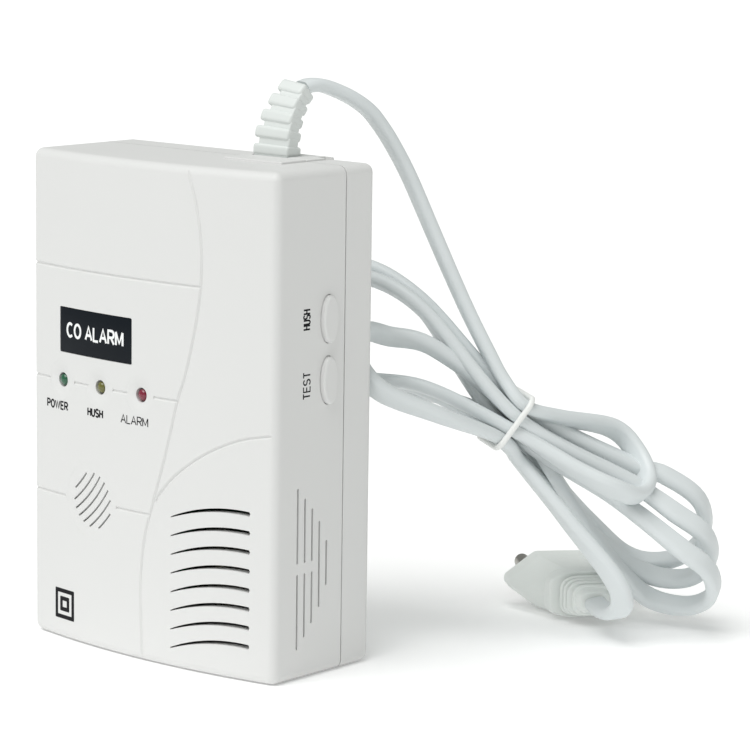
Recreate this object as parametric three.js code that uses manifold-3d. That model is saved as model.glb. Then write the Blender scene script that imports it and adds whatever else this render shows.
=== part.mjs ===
// A mains-powered carbon monoxide detector standing on its base, with a moulded mains lead.
// Millimetres, +Z up, front face towards -Y. The origin is the middle of the case's base.
import * as THREE from 'three';
import { mergeVertices } from 'three/addons/utils/BufferGeometryUtils.js';
import Module from 'manifold-3d';

const wasm = await Module();
wasm.setup();

// Case
const WIDTH = 79;
const HEIGHT = 118;
const DEPTH = 34;
const WALL = 2.2;
const CORNER = 2.5;
const EDGE = 1.8;
const GAP = 0.3;
const FRONT_Y = -DEPTH / 2;
const REAR_Y = DEPTH / 2;
const SEAM_Y = 6.5;
const LANDING = { x0: 8.6, x1: 27.4, y0: -2.3, z: HEIGHT + 0.5 };

// Front face: gently crowned from side to side
const CROWN = { rise: 3.6, half: 37.3, steps: 14 };
const ROW_LAMPS_Z = 63.4;
const LAMP_X = [-27.8, -13.8, 0.2];
const LAMP_NAMES = ['led_power', 'led_hush', 'led_alarm'];
const LAMP_COLOURS = [0x35b24a, 0x9a8f2c, 0xc8102e];
const LABEL = { x: -15.4, z: 75.7, width: 25.8, height: 10.8, sink: 0.5 };
const GRILLE = { x: -16.1, z: 35.8, radius: 6.8, pitch: 2.02, slot: 0.7, bow: 38 };
const VENTS = { count: 8, x0: 10.1, x1: 32.6, z: 4.8, pitch: 4.45, rise: 4.15, slot: 1.0 };

// Right side: two oval push buttons and a fan of thin slots
const BUTTON = { y: 0.8, width: 5.2, height: 11.4, proud: 1.3, travel: 0.8, rim: 0.3 };
const BUTTON_Z = { hush_button: 83.4, test_button: 69.2 };
const SIDE_SLOTS = [
  { y: -9.0, spans: [[7.3, 25.1], [27.5, 45.2]] },
  { y: -6.5, spans: [[9.9, 25.1], [27.5, 42.6]] },
  { y: -4.0, spans: [[12.8, 25.1], [27.5, 39.9]] },
  { y: -1.5, spans: [[16.2, 36.6]] },
  { y: 1.0, spans: [[21.0, 31.7]] },
];
const SIDE_SLOT_WIDTH = 0.7;

// Circuit board and fixings
const BOARD = { x: 33.5, z0: 11, z1: 107, y0: 2.0, y1: 3.6 };
const CASE_SCREWS = [[-34.2, 6.3], [34.2, 6.3], [-34.2, 111.7], [34.2, 111.7]];
const BOARD_SCREWS = [[-30, 15], [30, 15], [-30, 103], [24, 94]];
const KEYHOLES = [[0, 92], [0, 32]];

// Moulded strain relief: leaves the top upright and bends back over the rear edge
const RELIEF = { x: 15.5, y: 9.5, bend: 21, turn: 47, heading: 80 };

// Flat twin mains lead: from the relief down to the tied hank, and from the hank to the plug
const LEAD = { width: 5.6, thick: 3.2 };
const LEAD_RUN = [
  [17.0, 17.5, 134.9], [18.0, 21.0, 135.2], [19.5, 25.0, 133.8], [21.5, 29.0, 131.4],
  [23.2, 33.0, 128.0], [24.5, 36.2, 124.0], [25.8, 39.0, 119.5], [28.0, 42.5, 112.0],
  [31.8, 46.3, 100.0], [36.0, 49.0, 89.0], [40.2, 51.0, 79.5], [45.0, 52.6, 70.6],
  [48.8, 53.8, 64.2],
];
const LEAD_WIDE = [[0.98, -0.18, 0], [0.8, -0.6, 0]];
const TAIL_RUN = [
  [52.0, 56.3, 44.5], [57.0, 57.5, 39.4], [61.8, 59.0, 34.2], [66.0, 61.0, 28.8],
  [70.0, 63.0, 23.8], [73.6, 65.0, 18.9], [75.8, 66.8, 14.2], [75.2, 68.4, 10.2],
  [71.8, 70.2, 7.6], [66.4, 73.0, 6.8], [60.9, 77.25, 6.85],
];
const TAIL_WIDE = [[0.8, -0.6, 0], [0.64, 0.72, 0.2]];

// Tie round the waist of the hank: its middle, its two ways across and the way the strands run
const TIE = { wide: 9.9, tall: 7.3, section: 1.4, shift: -3 };
const TIE_MIDDLE = [50.1, 54.9, 54.2];
const TIE_AXES = { wide: [0.8, -0.6, 0.02], tall: [0.34, 0.49, 0.8] };

// Two lobes of the hank, each as a side outline and a plan outline measured from the tie
const LOBES = [
  {
    run: [-0.485, -0.651, 0.583],
    up: [0.181, 0.578, 0.796],
    side: [[-3, -7.8], [12, -12], [28, -16.5], [40, -16.5], [48, -12.5], [53, -6], [54, 4],
      [51, 13], [44, 18], [34, 17.8], [25, 15], [12, 10.5], [-3, 7.8]],
    plan: [[-3, -12], [13, -15], [19, -21], [26, -35], [36, -41], [46, -42], [53, -36],
      [54, -24], [50, -2], [44, 8], [36, 11], [13, 10.5], [-3, 6.8]],
  },
  {
    run: [0.493, 0.618, -0.612],
    up: [0.211, 0.598, 0.773],
    side: [[-3, -7.8], [12, -8], [30, -10.5], [48, -14.5], [62, -14.5], [69, -12], [71, -4],
      [68, 9], [62, 16], [52, 18.5], [28, 19], [18, 16], [10, 12], [-3, 7.8]],
    plan: [[-3, -12], [15, -14.5], [36, -19], [52, -23.5], [62, -22.5], [69, -14], [71, -2],
      [69, 8], [62, 14], [28, 14.5], [15, 11.5], [-3, 6.8]],
  },
];

// Flat two-pin plug lying on its broad side: the middle of its pin face and its heading
const PLUG = { x: 38.4, y: 97.0, heading: 138.7, wide: 35.3, tall: 13.7, back: 29.2 };
const PIN = { pitch: 19, length: 19, radius: 2, sleeve: 10 };

const WHITE = 0xe9e9e7;
const LEAD_WHITE = 0xdfe3e4;
const object = new THREE.Group();

function add(name, geometry, color, roughness = 0.5, metalness = 0) {
  const material = new THREE.MeshStandardMaterial({ color, roughness, metalness });
  const mesh = new THREE.Mesh(geometry, material);
  mesh.name = name;
  object.add(mesh);
}

// ---------- Solids ----------

function toSolid(geometry) {
  const bare = geometry.clone();
  bare.deleteAttribute('normal');
  bare.deleteAttribute('uv');
  const merged = mergeVertices(bare, 1e-4);
  return new wasm.Manifold(new wasm.Mesh({
    numProp: 3,
    vertProperties: Float32Array.from(merged.attributes.position.array),
    triVerts: Uint32Array.from(merged.index.array),
  }));
}

function toGeometry(solid) {
  const mesh = solid.getMesh();
  const geometry = new THREE.BufferGeometry();
  geometry.setAttribute('position', new THREE.BufferAttribute(mesh.vertProperties, 3));
  geometry.setIndex(new THREE.BufferAttribute(mesh.triVerts, 1));
  return geometry;
}

function carve(base, cuts) {
  return cuts.reduce((solid, cut) => solid.subtract(toSolid(cut)), base);
}

function join(geometries) {
  return geometries.map(toSolid).reduce((whole, piece) => whole.add(piece));
}

function box(x0, x1, y0, y1, z0, z1) {
  const geometry = new THREE.BoxGeometry(x1 - x0, y1 - y0, z1 - z0);
  return geometry.translate((x0 + x1) / 2, (y0 + y1) / 2, (z0 + z1) / 2);
}

function rodX(y, z, radius, x0, x1, sides = 16) {
  const geometry = new THREE.CylinderGeometry(radius, radius, x1 - x0, sides);
  return geometry.rotateZ(Math.PI / 2).translate((x0 + x1) / 2, y, z);
}

function rodY(x, z, radius, y0, y1, sides = 16) {
  const geometry = new THREE.CylinderGeometry(radius, radius, y1 - y0, sides);
  return geometry.translate(x, (y0 + y1) / 2, z);
}

function rodZ(x, y, radius, z0, z1, sides = 16) {
  const geometry = new THREE.CylinderGeometry(radius, radius, z1 - z0, sides);
  return geometry.rotateX(Math.PI / 2).translate(x, y, (z0 + z1) / 2);
}

// A shape drawn in X and Z, as seen from the front, made thick from y0 to y1.
function frontPrism(shape, y0, y1, options = {}) {
  const settings = { depth: y1 - y0, bevelEnabled: false, curveSegments: 6, ...options };
  return new THREE.ExtrudeGeometry(shape, settings).rotateX(Math.PI / 2).translate(0, y1, 0);
}

// A shape drawn in Y and Z, as seen from the right, made thick from x0 to x1.
function sidePrism(shape, x0, x1, options = {}) {
  const settings = { depth: x1 - x0, bevelEnabled: false, curveSegments: 6, ...options };
  const turn = new THREE.Matrix4().makeBasis(
    new THREE.Vector3(0, 1, 0),
    new THREE.Vector3(0, 0, 1),
    new THREE.Vector3(1, 0, 0),
  );
  return new THREE.ExtrudeGeometry(shape, settings).applyMatrix4(turn).translate(x0, 0, 0);
}

function roundedRect(u, v, width, height, radius) {
  const left = u - width / 2;
  const right = u + width / 2;
  const low = v - height / 2;
  const high = v + height / 2;
  const shape = new THREE.Shape();
  shape.moveTo(left + radius, low);
  shape.lineTo(right - radius, low);
  shape.absarc(right - radius, low + radius, radius, -Math.PI / 2, 0);
  shape.lineTo(right, high - radius);
  shape.absarc(right - radius, high - radius, radius, 0, Math.PI / 2);
  shape.lineTo(left + radius, high);
  shape.absarc(left + radius, high - radius, radius, Math.PI / 2, Math.PI);
  shape.lineTo(left, low + radius);
  shape.absarc(left + radius, low + radius, radius, Math.PI, Math.PI * 1.5);
  return shape;
}

function oval(u, v, width, height) {
  return new THREE.Shape().absellipse(u, v, width / 2, height / 2, 0, Math.PI * 2);
}

// A stadium: a slot with round ends, its long way upright.
function stadium(u, v, width, height) {
  return roundedRect(u, v, width, height, width / 2 - 0.001);
}

// An extruded shape whose two ends are placed by the function given.
function taper(shape, place) {
  const block = new THREE.ExtrudeGeometry(shape, {
    depth: 1, bevelEnabled: false, curveSegments: 2,
  });
  const corners = block.attributes.position;
  const point = new THREE.Vector3();
  for (let i = 0; i < corners.count; i += 1) {
    point.fromBufferAttribute(corners, i);
    place(point, point.z > 0.5);
    corners.setXYZ(i, point.x, point.y, point.z);
  }
  return block;
}

// A section swept along a curve, its wide way turning evenly from one direction to the other.
function sweep(points, section, wide, steps) {
  const path = new THREE.CatmullRomCurve3(points.map((p) => new THREE.Vector3(...p)));
  const from = new THREE.Vector3(...wide[0]);
  const to = new THREE.Vector3(...wide[1]);
  path.computeFrenetFrames = (count) => {
    const frames = { tangents: [], normals: [], binormals: [] };
    for (let i = 0; i <= count; i += 1) {
      const tangent = path.getTangentAt(i / count);
      const normal = from.clone().lerp(to, i / count);
      normal.addScaledVector(tangent, -normal.dot(tangent)).normalize();
      frames.tangents.push(tangent);
      frames.normals.push(normal);
      frames.binormals.push(new THREE.Vector3().crossVectors(tangent, normal));
    }
    return frames;
  };
  return new THREE.ExtrudeGeometry(section, { steps, extrudePath: path, bevelEnabled: false });
}

function roundSection(radius) {
  return new THREE.Shape(Array.from({ length: 8 }, (_, i) => {
    const angle = (i / 8) * Math.PI * 2;
    return new THREE.Vector2(radius * Math.cos(angle), radius * Math.sin(angle));
  }));
}

// The lead's flat section, larger all round by the margin.
function leadSection(margin = 0) {
  const a = LEAD.width / 2 + margin;
  const b = LEAD.thick / 2 + margin;
  const quarter = [[a, 0], [a - 0.4, 0.62 * b], [a - 1.3, b]];
  const half = [...quarter, ...[...quarter.slice(1)].reverse().map(([x, y]) => [-x, y])];
  const all = [...half, ...half.map(([x, y]) => [-x, -y])];
  return new THREE.Shape(all.map(([x, y]) => new THREE.Vector2(x, y)));
}

// ---------- Front cover ----------

function caseBlock(y0, y1) {
  const shape = roundedRect(0, HEIGHT / 2, WIDTH - 2 * EDGE, HEIGHT - 2 * EDGE, CORNER - EDGE);
  const bevel = { bevelEnabled: true, bevelThickness: EDGE, bevelSize: EDGE, bevelSegments: 3 };
  return frontPrism(shape, y0 + EDGE, y1 - EDGE, { ...bevel, curveSegments: 3 });
}

// How far the crowned face stands ahead of its edges at a place across it.
function crownAt(x) {
  return CROWN.rise * Math.max(0, 1 - (x / CROWN.half) ** 2);
}

// Plan points along the crown from x0 to x1, set back to y.
function crownLine(x0, x1, y) {
  return Array.from({ length: CROWN.steps + 1 }, (_, i) => {
    const x = x0 + (x1 - x0) * i / CROWN.steps;
    return new THREE.Vector2(x, y - crownAt(x));
  });
}

// A plan outline stood up between two heights.
function upright(points, z0, z1, options = {}) {
  const settings = { depth: z1 - z0, bevelEnabled: false, ...options };
  return new THREE.ExtrudeGeometry(new THREE.Shape(points), settings).translate(0, 0, z0);
}

// A strip that follows the crown between two depths.
function crownedStrip(x0, x1, near, far, z0, z1) {
  return upright([...crownLine(x0, x1, near), ...crownLine(x1, x0, far)], z0, z1);
}

function crownedBlock(back) {
  const side = WIDTH / 2;
  const round = side - CROWN.half;
  const corner = [15, 40, 65].map((angle) => {
    const a = THREE.MathUtils.degToRad(angle);
    return [CROWN.half + round * Math.cos(a), FRONT_Y + round * (1 - Math.sin(a))];
  });
  const right = corner.map(([x, y]) => new THREE.Vector2(x, y));
  const left = corner.map(([x, y]) => new THREE.Vector2(-x, y)).reverse();
  const points = [
    new THREE.Vector2(-side, back),
    new THREE.Vector2(side, back),
    new THREE.Vector2(side, FRONT_Y + round),
    ...right,
    ...crownLine(CROWN.half, -CROWN.half, FRONT_Y),
    ...left,
    new THREE.Vector2(-side, FRONT_Y + round),
  ];
  const bevel = { bevelEnabled: true, bevelThickness: EDGE, bevelSize: EDGE, bevelOffset: -EDGE };
  return upright(points, EDGE, HEIGHT - EDGE, { ...bevel, bevelSegments: 3 });
}

function caseHollow(y0, y1) {
  const inner = roundedRect(0, HEIGHT / 2, WIDTH - 2 * WALL, HEIGHT - 2 * WALL, 1.2);
  return frontPrism(inner, y0, y1, { curveSegments: 2 });
}

// One bowed slot of the sounder's grille, in the disc's own frame turned by 45 degrees.
function grilleSlot(index) {
  const across = (index - 3) * GRILLE.pitch;
  const half = Math.sqrt(Math.max(GRILLE.radius ** 2 - across ** 2, 4)) - 0.2;
  const inner = GRILLE.bow - GRILLE.slot / 2;
  const outer = GRILLE.bow + GRILLE.slot / 2;
  const swing = half / GRILLE.bow;
  const shape = new THREE.Shape();
  shape.absarc(0, 0, outer, -swing, swing, false);
  shape.absarc(0, 0, inner, swing, -swing, true);
  const cut = new THREE.ExtrudeGeometry(shape, { depth: 9, bevelEnabled: false, curveSegments: 4 });
  cut.translate(across - GRILLE.bow, 0, 0).rotateZ(-Math.PI / 4).rotateX(Math.PI / 2);
  return cut.translate(GRILLE.x, FRONT_Y + 4, GRILLE.z);
}

// A crescent: pointed at its left tip, rising and growing thicker to a blunt right end.
function ventSlot(index) {
  const z = VENTS.z + index * VENTS.pitch;
  const middle = (VENTS.x0 + VENTS.x1) / 2;
  const shape = new THREE.Shape();
  shape.moveTo(VENTS.x0, z);
  shape.quadraticCurveTo(middle, z + VENTS.rise + 0.2, VENTS.x1, z + VENTS.rise - VENTS.slot);
  shape.lineTo(VENTS.x1, z + VENTS.rise);
  shape.quadraticCurveTo(middle, z + VENTS.rise + 0.8, VENTS.x0, z + 0.3);
  return frontPrism(shape, FRONT_Y - 5, FRONT_Y + 4);
}

function sideSlots() {
  return SIDE_SLOTS.flatMap(({ y, spans }) => spans.map(([low, high]) => {
    const slot = stadium(y, (low + high) / 2, SIDE_SLOT_WIDTH, high - low);
    return sidePrism(slot, WIDTH / 2 - 4, WIDTH / 2 + 1, { curveSegments: 2 });
  }));
}

function buttonHoles() {
  const around = 2 * BUTTON.rim;
  return Object.values(BUTTON_Z).map((z) => {
    const hole = oval(BUTTON.y, z, BUTTON.width + around, BUTTON.height + around);
    return sidePrism(hole, WIDTH / 2 - 5, WIDTH / 2 + 1);
  });
}

// The opening in the top wall that the strain relief's foot fills.
function reliefOpening() {
  return box(RELIEF.x - 5.9, RELIEF.x + 5.9, RELIEF.y - 3, RELIEF.y + 3, HEIGHT - 6, HEIGHT + 3);
}

function landing(y0, y1) {
  return box(LANDING.x0, LANDING.x1, y0, y1, HEIGHT - 1, LANDING.z);
}

// The label's strip between two depths below the face, grown all round by a margin.
function labelStrip(near, far, margin) {
  const across = LABEL.width / 2 + margin;
  const up = LABEL.height / 2 + margin;
  const [x0, x1] = [LABEL.x - across, LABEL.x + across];
  return crownedStrip(x0, x1, FRONT_Y + near, FRONT_Y + far, LABEL.z - up, LABEL.z + up);
}

function frontCover() {
  const seam = SEAM_Y - GAP / 2;
  const behind = box(-60, 60, seam, 60, -10, HEIGHT + 10);
  let cover = toSolid(crownedBlock(seam + 6));
  cover = cover.subtract(toSolid(behind));
  const inside = WIDTH / 2 - WALL;
  const hollow = [
    ...crownLine(-inside, inside, FRONT_Y + WALL),
    new THREE.Vector2(inside, seam + 1),
    new THREE.Vector2(-inside, seam + 1),
  ];
  cover = cover.subtract(toSolid(upright(hollow, WALL, HEIGHT - WALL)));
  const posts = [
    ...CASE_SCREWS.map(([x, z]) => rodY(x, z, 3.2, FRONT_Y + 1 - crownAt(x), seam - 0.2, 14)),
    ...BOARD_SCREWS.map(([x, z]) => rodY(x, z, 2.6, FRONT_Y + 1 - crownAt(x), BOARD.y0 - 0.3, 12)),
  ];
  cover = cover.add(join(posts));
  cover = cover.add(toSolid(landing(LANDING.y0, seam)));
  const grilleRing = rodY(GRILLE.x, GRILLE.z, 9.5, FRONT_Y - 1.5, FRONT_Y + 4, 28);
  cover = cover.add(toSolid(grilleRing));
  return carve(cover, [
    rodY(GRILLE.x, GRILLE.z, 8.2, FRONT_Y + 0.1, FRONT_Y + 6, 28),
    ...[0, 1, 2, 3, 4, 5, 6].map(grilleSlot),
    ...Array.from({ length: VENTS.count }, (_, i) => ventSlot(i)),
    ...LAMP_X.map((x) => rodY(x, ROW_LAMPS_Z, 1.8, FRONT_Y - 5, FRONT_Y + 5, 16)),
    labelStrip(-1, LABEL.sink, 0.2),
    ...sideSlots(),
    ...buttonHoles(),
    ...CASE_SCREWS.map(([x, z]) => rodY(x, z, 1.7, -8, 10, 10)),
    ...BOARD_SCREWS.map(([x, z]) => rodY(x, z, 1.5, -7, 5, 10)),
    reliefOpening(),
  ]);
}

// ---------- Rear cover ----------

function keyhole([x, z]) {
  const entry = rodY(x, z, 4.2, REAR_Y - 5, REAR_Y + 1, 18);
  const slot = frontPrism(stadium(x, z + 4, 4.4, 12), REAR_Y - 5, REAR_Y + 1, { curveSegments: 4 });
  return [entry, slot];
}

function rearCover() {
  const seam = SEAM_Y + GAP / 2;
  const ahead = box(-60, 60, -60, seam, -10, HEIGHT + 10);
  let cover = toSolid(caseBlock(seam - 6, REAR_Y));
  cover = cover.subtract(toSolid(ahead));
  cover = cover.subtract(toSolid(caseHollow(seam - 1, REAR_Y - WALL)));
  const bosses = CASE_SCREWS.map(([x, z]) => rodY(x, z, 3.4, seam, REAR_Y - 1, 14));
  cover = cover.add(join(bosses));
  cover = cover.add(toSolid(landing(seam, REAR_Y - 1.2)));
  const screwWays = CASE_SCREWS.flatMap(([x, z]) => [
    rodY(x, z, 1.7, 0, REAR_Y + 1, 10),
    rodY(x, z, 2.9, REAR_Y - 4, REAR_Y + 1, 14),
  ]);
  return carve(cover, [...KEYHOLES.flatMap(keyhole), ...screwWays, reliefOpening()]);
}

// ---------- Face plate, lamps and their spacers ----------

function addFaceParts() {
  add('label_plate', labelStrip(0.05, LABEL.sink - 0.1, 0), 0x20242b, 0.35);
  LAMP_X.forEach((x, i) => {
    const profile = [[0, -13.5], [1.9, -13.5], [1.9, -14.2], [1.5, -14.2], [1.5, -16.5]];
    const dome = [30, 60, 90].map((angle) => {
      const a = THREE.MathUtils.degToRad(angle);
      return [1.5 * Math.cos(a), -16.5 - 0.5 * Math.sin(a)];
    });
    const points = [...profile, ...dome].map(([r, y]) => new THREE.Vector2(Math.max(r, 0), -y));
    points[points.length - 1].x = 0;
    const lens = new THREE.LatheGeometry(points, 16);
    lens.rotateX(Math.PI).translate(x, -crownAt(x), ROW_LAMPS_Z);
    add(LAMP_NAMES[i], lens, LAMP_COLOURS[i], 0.25);
    const spacer = rodY(x, ROW_LAMPS_Z, 2.2, -13.2 - crownAt(x), BOARD.y0 - GAP, 12);
    add(`${LAMP_NAMES[i]}_spacer`, spacer, 0xf0efe8, 0.6);
  });
}

// ---------- Circuit board and what it carries ----------

function addBoard() {
  const board = box(-BOARD.x, BOARD.x, BOARD.y0, BOARD.y1, BOARD.z0, BOARD.z1);
  const holes = BOARD_SCREWS.map(([x, z]) => rodY(x, z, 1.6, 0, 6, 12));
  add('main_board', toGeometry(carve(toSolid(board), holes)), 0x1f6b3a, 0.45);
  BOARD_SCREWS.forEach(([x, z], i) => {
    const head = rodY(x, z, 2.4, BOARD.y1 + GAP, BOARD.y1 + 1.9, 14);
    const shank = rodY(x, z, 1.2, -6, BOARD.y1 + 1, 10);
    add(`board_screw_${i + 1}`, toGeometry(join([head, shank])), 0xb9bcc0, 0.35, 1);
  });
}

function onBoard(x0, x1, z0, z1, height) {
  return box(x0, x1, BOARD.y0 - GAP - height, BOARD.y0 - GAP, z0, z1);
}

function canOnBoard(x, z, radius, height, sides = 20) {
  return rodY(x, z, radius, BOARD.y0 - GAP - height, BOARD.y0 - GAP, sides);
}

function addElectronics() {
  const foot = BOARD.y0 - GAP;
  // Sounder behind the grille: a drum with its sound hole open towards the slots
  const drum = carve(toSolid(canOnBoard(GRILLE.x, GRILLE.z, 12, 10.5, 32)), [
    rodY(GRILLE.x, GRILLE.z, 2.5, foot - 11, foot - 7, 14),
  ]);
  add('buzzer_body', toGeometry(drum), 0x1b1b1d, 0.5);
  // Electrochemical gas cell behind the vents, in a moulded holder
  add('sensor_base', canOnBoard(18, 24, 10.8, 3, 28), 0x2a2c30, 0.55);
  const cell = rodY(18, 24, 9.5, foot - 13.6, foot - 3 - GAP, 28);
  const inlet = rodY(18, 24, 1.4, foot - 15, foot - 12.6, 12);
  add('sensor_cell', toGeometry(carve(toSolid(cell), [inlet])), 0xc7c9cb, 0.3, 1);
  // Mains transformer
  add('transformer_core', onBoard(-24.5, 0.5, 82, 101, 10), 0x5b5f63, 0.5, 0.8);
  add('transformer_coil', box(-22, -2, foot - 13.4, foot - 10.3, 84.5, 98.5), 0xd9b23a, 0.5);
  // Smoothing capacitors
  add('capacitor_main', canOnBoard(6, 88, 5, 13), 0x23406f, 0.4);
  add('capacitor_small', canOnBoard(6, 76.5, 3.15, 10), 0x23406f, 0.4);
  add('film_capacitor', onBoard(12, 18, 69, 82, 11), 0xd9d34f, 0.5);
  add('varistor', rodX(BOARD.y0 - 6.3, 90, 5, 14, 18, 20), 0x2b62a8, 0.5);
  // Fuse in two spring clips
  add('fuse', rodZ(-29.9, foot - 4, 2.5, 72, 92, 14), 0xd8d4c4, 0.3);
  [[71.5, 75], [89, 92.5]].forEach(([z0, z1], i) => {
    const clip = carve(toSolid(box(-33.4, -26.4, foot - 6, foot, z0, z1)), [
      rodZ(-29.9, foot - 4, 2.5 + GAP, z0 - 1, z1 + 1, 14),
      box(-30.8, -29.0, foot - 8, foot - 4, z0 - 1, z1 + 1),
    ]);
    add(`fuse_clip_${i + 1}`, toGeometry(clip), 0xc9b27a, 0.35, 1);
  });
  // Logic
  add('controller_chip', onBoard(-12, 0, 50, 57, 2.6), 0x17181a, 0.5);
  add('amplifier_chip', onBoard(8, 13, 44, 49, 1.8), 0x17181a, 0.5);
  add('voltage_regulator', onBoard(18, 28, 56, 60.5, 12), 0x202124, 0.5);
  add('timing_crystal', onBoard(4, 8.5, 52, 63, 3.5), 0xc4c7ca, 0.3, 1);
  add('terminal_block', onBoard(2.5, 13, 97, 106, 9), 0x2f7d4c, 0.5);
}

// ---------- Push buttons and their switches ----------

function addButtons() {
  const outer = WIDTH / 2;
  const switchY = BUTTON.y - 1.4;
  Object.entries(BUTTON_Z).forEach(([name, z]) => {
    const face = oval(BUTTON.y, z, BUTTON.width, BUTTON.height);
    const cap = sidePrism(face, outer - 3.6, outer + BUTTON.proud - 0.5, {
      bevelEnabled: true, bevelThickness: 0.5, bevelSize: 0.5, bevelOffset: -0.5, bevelSegments: 2,
      curveSegments: 10,
    });
    const flange = sidePrism(
      oval(BUTTON.y, z, BUTTON.width + 2.4, BUTTON.height + 2.4),
      outer - WALL - GAP - 1.2,
      outer - WALL - GAP,
      { curveSegments: 8 },
    );
    add(name, toGeometry(join([cap, flange])), WHITE, 0.45);
    const stem = name.split('_')[0];
    const back = outer - 4.1;
    add(`${stem}_plunger`, rodX(switchY, z, 1.6, back - 3.3, back - GAP, 12), 0x1b1b1d, 0.5);
    const body = box(back - 7.9, back - 2.3 - BUTTON.travel, BOARD.y0 - 6.4, BOARD.y0 - GAP, z - 3, z + 3);
    const way = rodX(switchY, z, 1.6 + GAP, back - 6, back, 12);
    add(`${stem}_switch`, toGeometry(carve(toSolid(body), [way])), 0x2b2d30, 0.5);
  });
}

// ---------- Case screws ----------

function addCaseScrews() {
  CASE_SCREWS.forEach(([x, z], i) => {
    const head = rodY(x, z, 2.5, REAR_Y - 3.6, REAR_Y - 1.6, 14);
    const shank = rodY(x, z, 1.3, -6, REAR_Y - 2.5, 10);
    const drive = [
      box(x - 1.4, x + 1.4, REAR_Y - 2.4, REAR_Y, z - 0.25, z + 0.25),
      box(x - 0.25, x + 0.25, REAR_Y - 2.4, REAR_Y, z - 1.4, z + 1.4),
    ];
    add(`case_screw_${i + 1}`, toGeometry(carve(join([head, shank]), drive)), 0xb9bcc0, 0.35, 1);
  });
}

// ---------- Strain relief ----------

// The frame of the relief's bent axis at a distance along it.
function reliefFrame(along) {
  const angle = along / RELIEF.bend;
  const heading = THREE.MathUtils.degToRad(RELIEF.heading);
  const flat = new THREE.Vector3(Math.cos(heading), Math.sin(heading), 0);
  const up = new THREE.Vector3(0, 0, 1);
  const centre = new THREE.Vector3(RELIEF.x, RELIEF.y, LANDING.z);
  centre.addScaledVector(flat, RELIEF.bend * (1 - Math.cos(angle)));
  centre.addScaledVector(up, RELIEF.bend * Math.sin(angle));
  const sideways = new THREE.Vector3().crossVectors(up, flat);
  return new THREE.Matrix4()
    .makeRotationAxis(sideways, angle)
    .setPosition(centre);
}

// A rounded block whose ends follow the axis: half sizes a and b at each end.
function reliefBlock(start, end, sizes) {
  const [a0, b0, a1, b1] = sizes;
  return taper(roundedRect(0, 0, 2, 2, 0.3), (point, far) => {
    point.set(point.x * (far ? a1 : a0), point.y * (far ? b1 : b0), 0);
    point.applyMatrix4(reliefFrame(far ? end : start));
  });
}

function strainRelief() {
  const length = THREE.MathUtils.degToRad(RELIEF.turn) * RELIEF.bend;
  const rib = (along) => [5.5 - 2.3 * (along / length), 2.6 - 0.1 * (along / length)];
  const blocks = [reliefBlock(0, 2.7, [5.4, 2.6, 5.2, 2.55])];
  const starts = [4.4, 8.0, 11.6, 15.2];
  starts.forEach((start, i) => {
    const end = i === 3 ? length : start + 2.1;
    blocks.push(reliefBlock(start, end, [...rib(start), ...rib(end)]));
  });
  [2.5, 6.3, 9.9, 13.5].forEach((start) => {
    const [a, b] = rib(start);
    blocks.push(reliefBlock(start, start + 2.3, [a - 1.3, b - 0.45, a - 1.5, b - 0.45]));
  });
  const neck = box(RELIEF.x - 5.4, RELIEF.x + 5.4, RELIEF.y - 2.7, RELIEF.y + 2.7, HEIGHT - 3, LANDING.z + 0.1);
  const foot = box(RELIEF.x - 7, RELIEF.x + 7, RELIEF.y - 2.7, RELIEF.y + 4, HEIGHT - 5.4, HEIGHT - 2.6);
  return join([neck, foot, ...blocks]);
}

// ---------- Mains lead, hank and tie ----------

function addWires() {
  const routes = {
    wire_live: [[15.5, 9.5, 111.8], [14.5, 7, 110], [11.5, 1, 109.8], [10.5, -2.6, 108.4], [10.5, -3, 106.7]],
    wire_neutral: [[10.5, 9.5, 111.8], [9.5, 7, 110], [6.5, 1, 109.8], [5.5, -2.6, 108.4], [5.5, -3, 106.7]],
  };
  const colours = { wire_live: 0x6b3f22, wire_neutral: 0x2f63b0 };
  Object.entries(routes).forEach(([name, route]) => {
    add(name, sweep(route, roundSection(1), [[1, 0, 0], [1, 0, 0]], 8), colours[name], 0.5);
  });
}

function tieFrame() {
  const wide = new THREE.Vector3(...TIE_AXES.wide).normalize();
  const tall = new THREE.Vector3(...TIE_AXES.tall).normalize();
  const along = new THREE.Vector3().crossVectors(wide, tall).normalize();
  tall.crossVectors(along, wide);
  const middle = new THREE.Vector3(...TIE_MIDDLE).addScaledVector(wide, TIE.shift);
  return new THREE.Matrix4().makeBasis(wide, tall, along).setPosition(middle);
}

// The closed ring of the tie, its section larger all round by the margin.
function tieRing(margin = 0) {
  const half = TIE.section / 2 + margin;
  const ring = roundedRect(0, 0, 2 * (TIE.wide + half - 0.4), 2 * (TIE.tall + half - 0.4), 5);
  ring.holes.push(roundedRect(0, 0, 2 * (TIE.wide - half + 0.4), 2 * (TIE.tall - half + 0.4), 3.6));
  const geometry = new THREE.ExtrudeGeometry(ring, {
    depth: 2 * half - 0.8,
    bevelEnabled: true,
    bevelThickness: 0.4,
    bevelSize: 0.4,
    bevelSegments: 1,
    curveSegments: 5,
  });
  return geometry.translate(0, 0, 0.4 - half).applyMatrix4(tieFrame());
}

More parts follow.
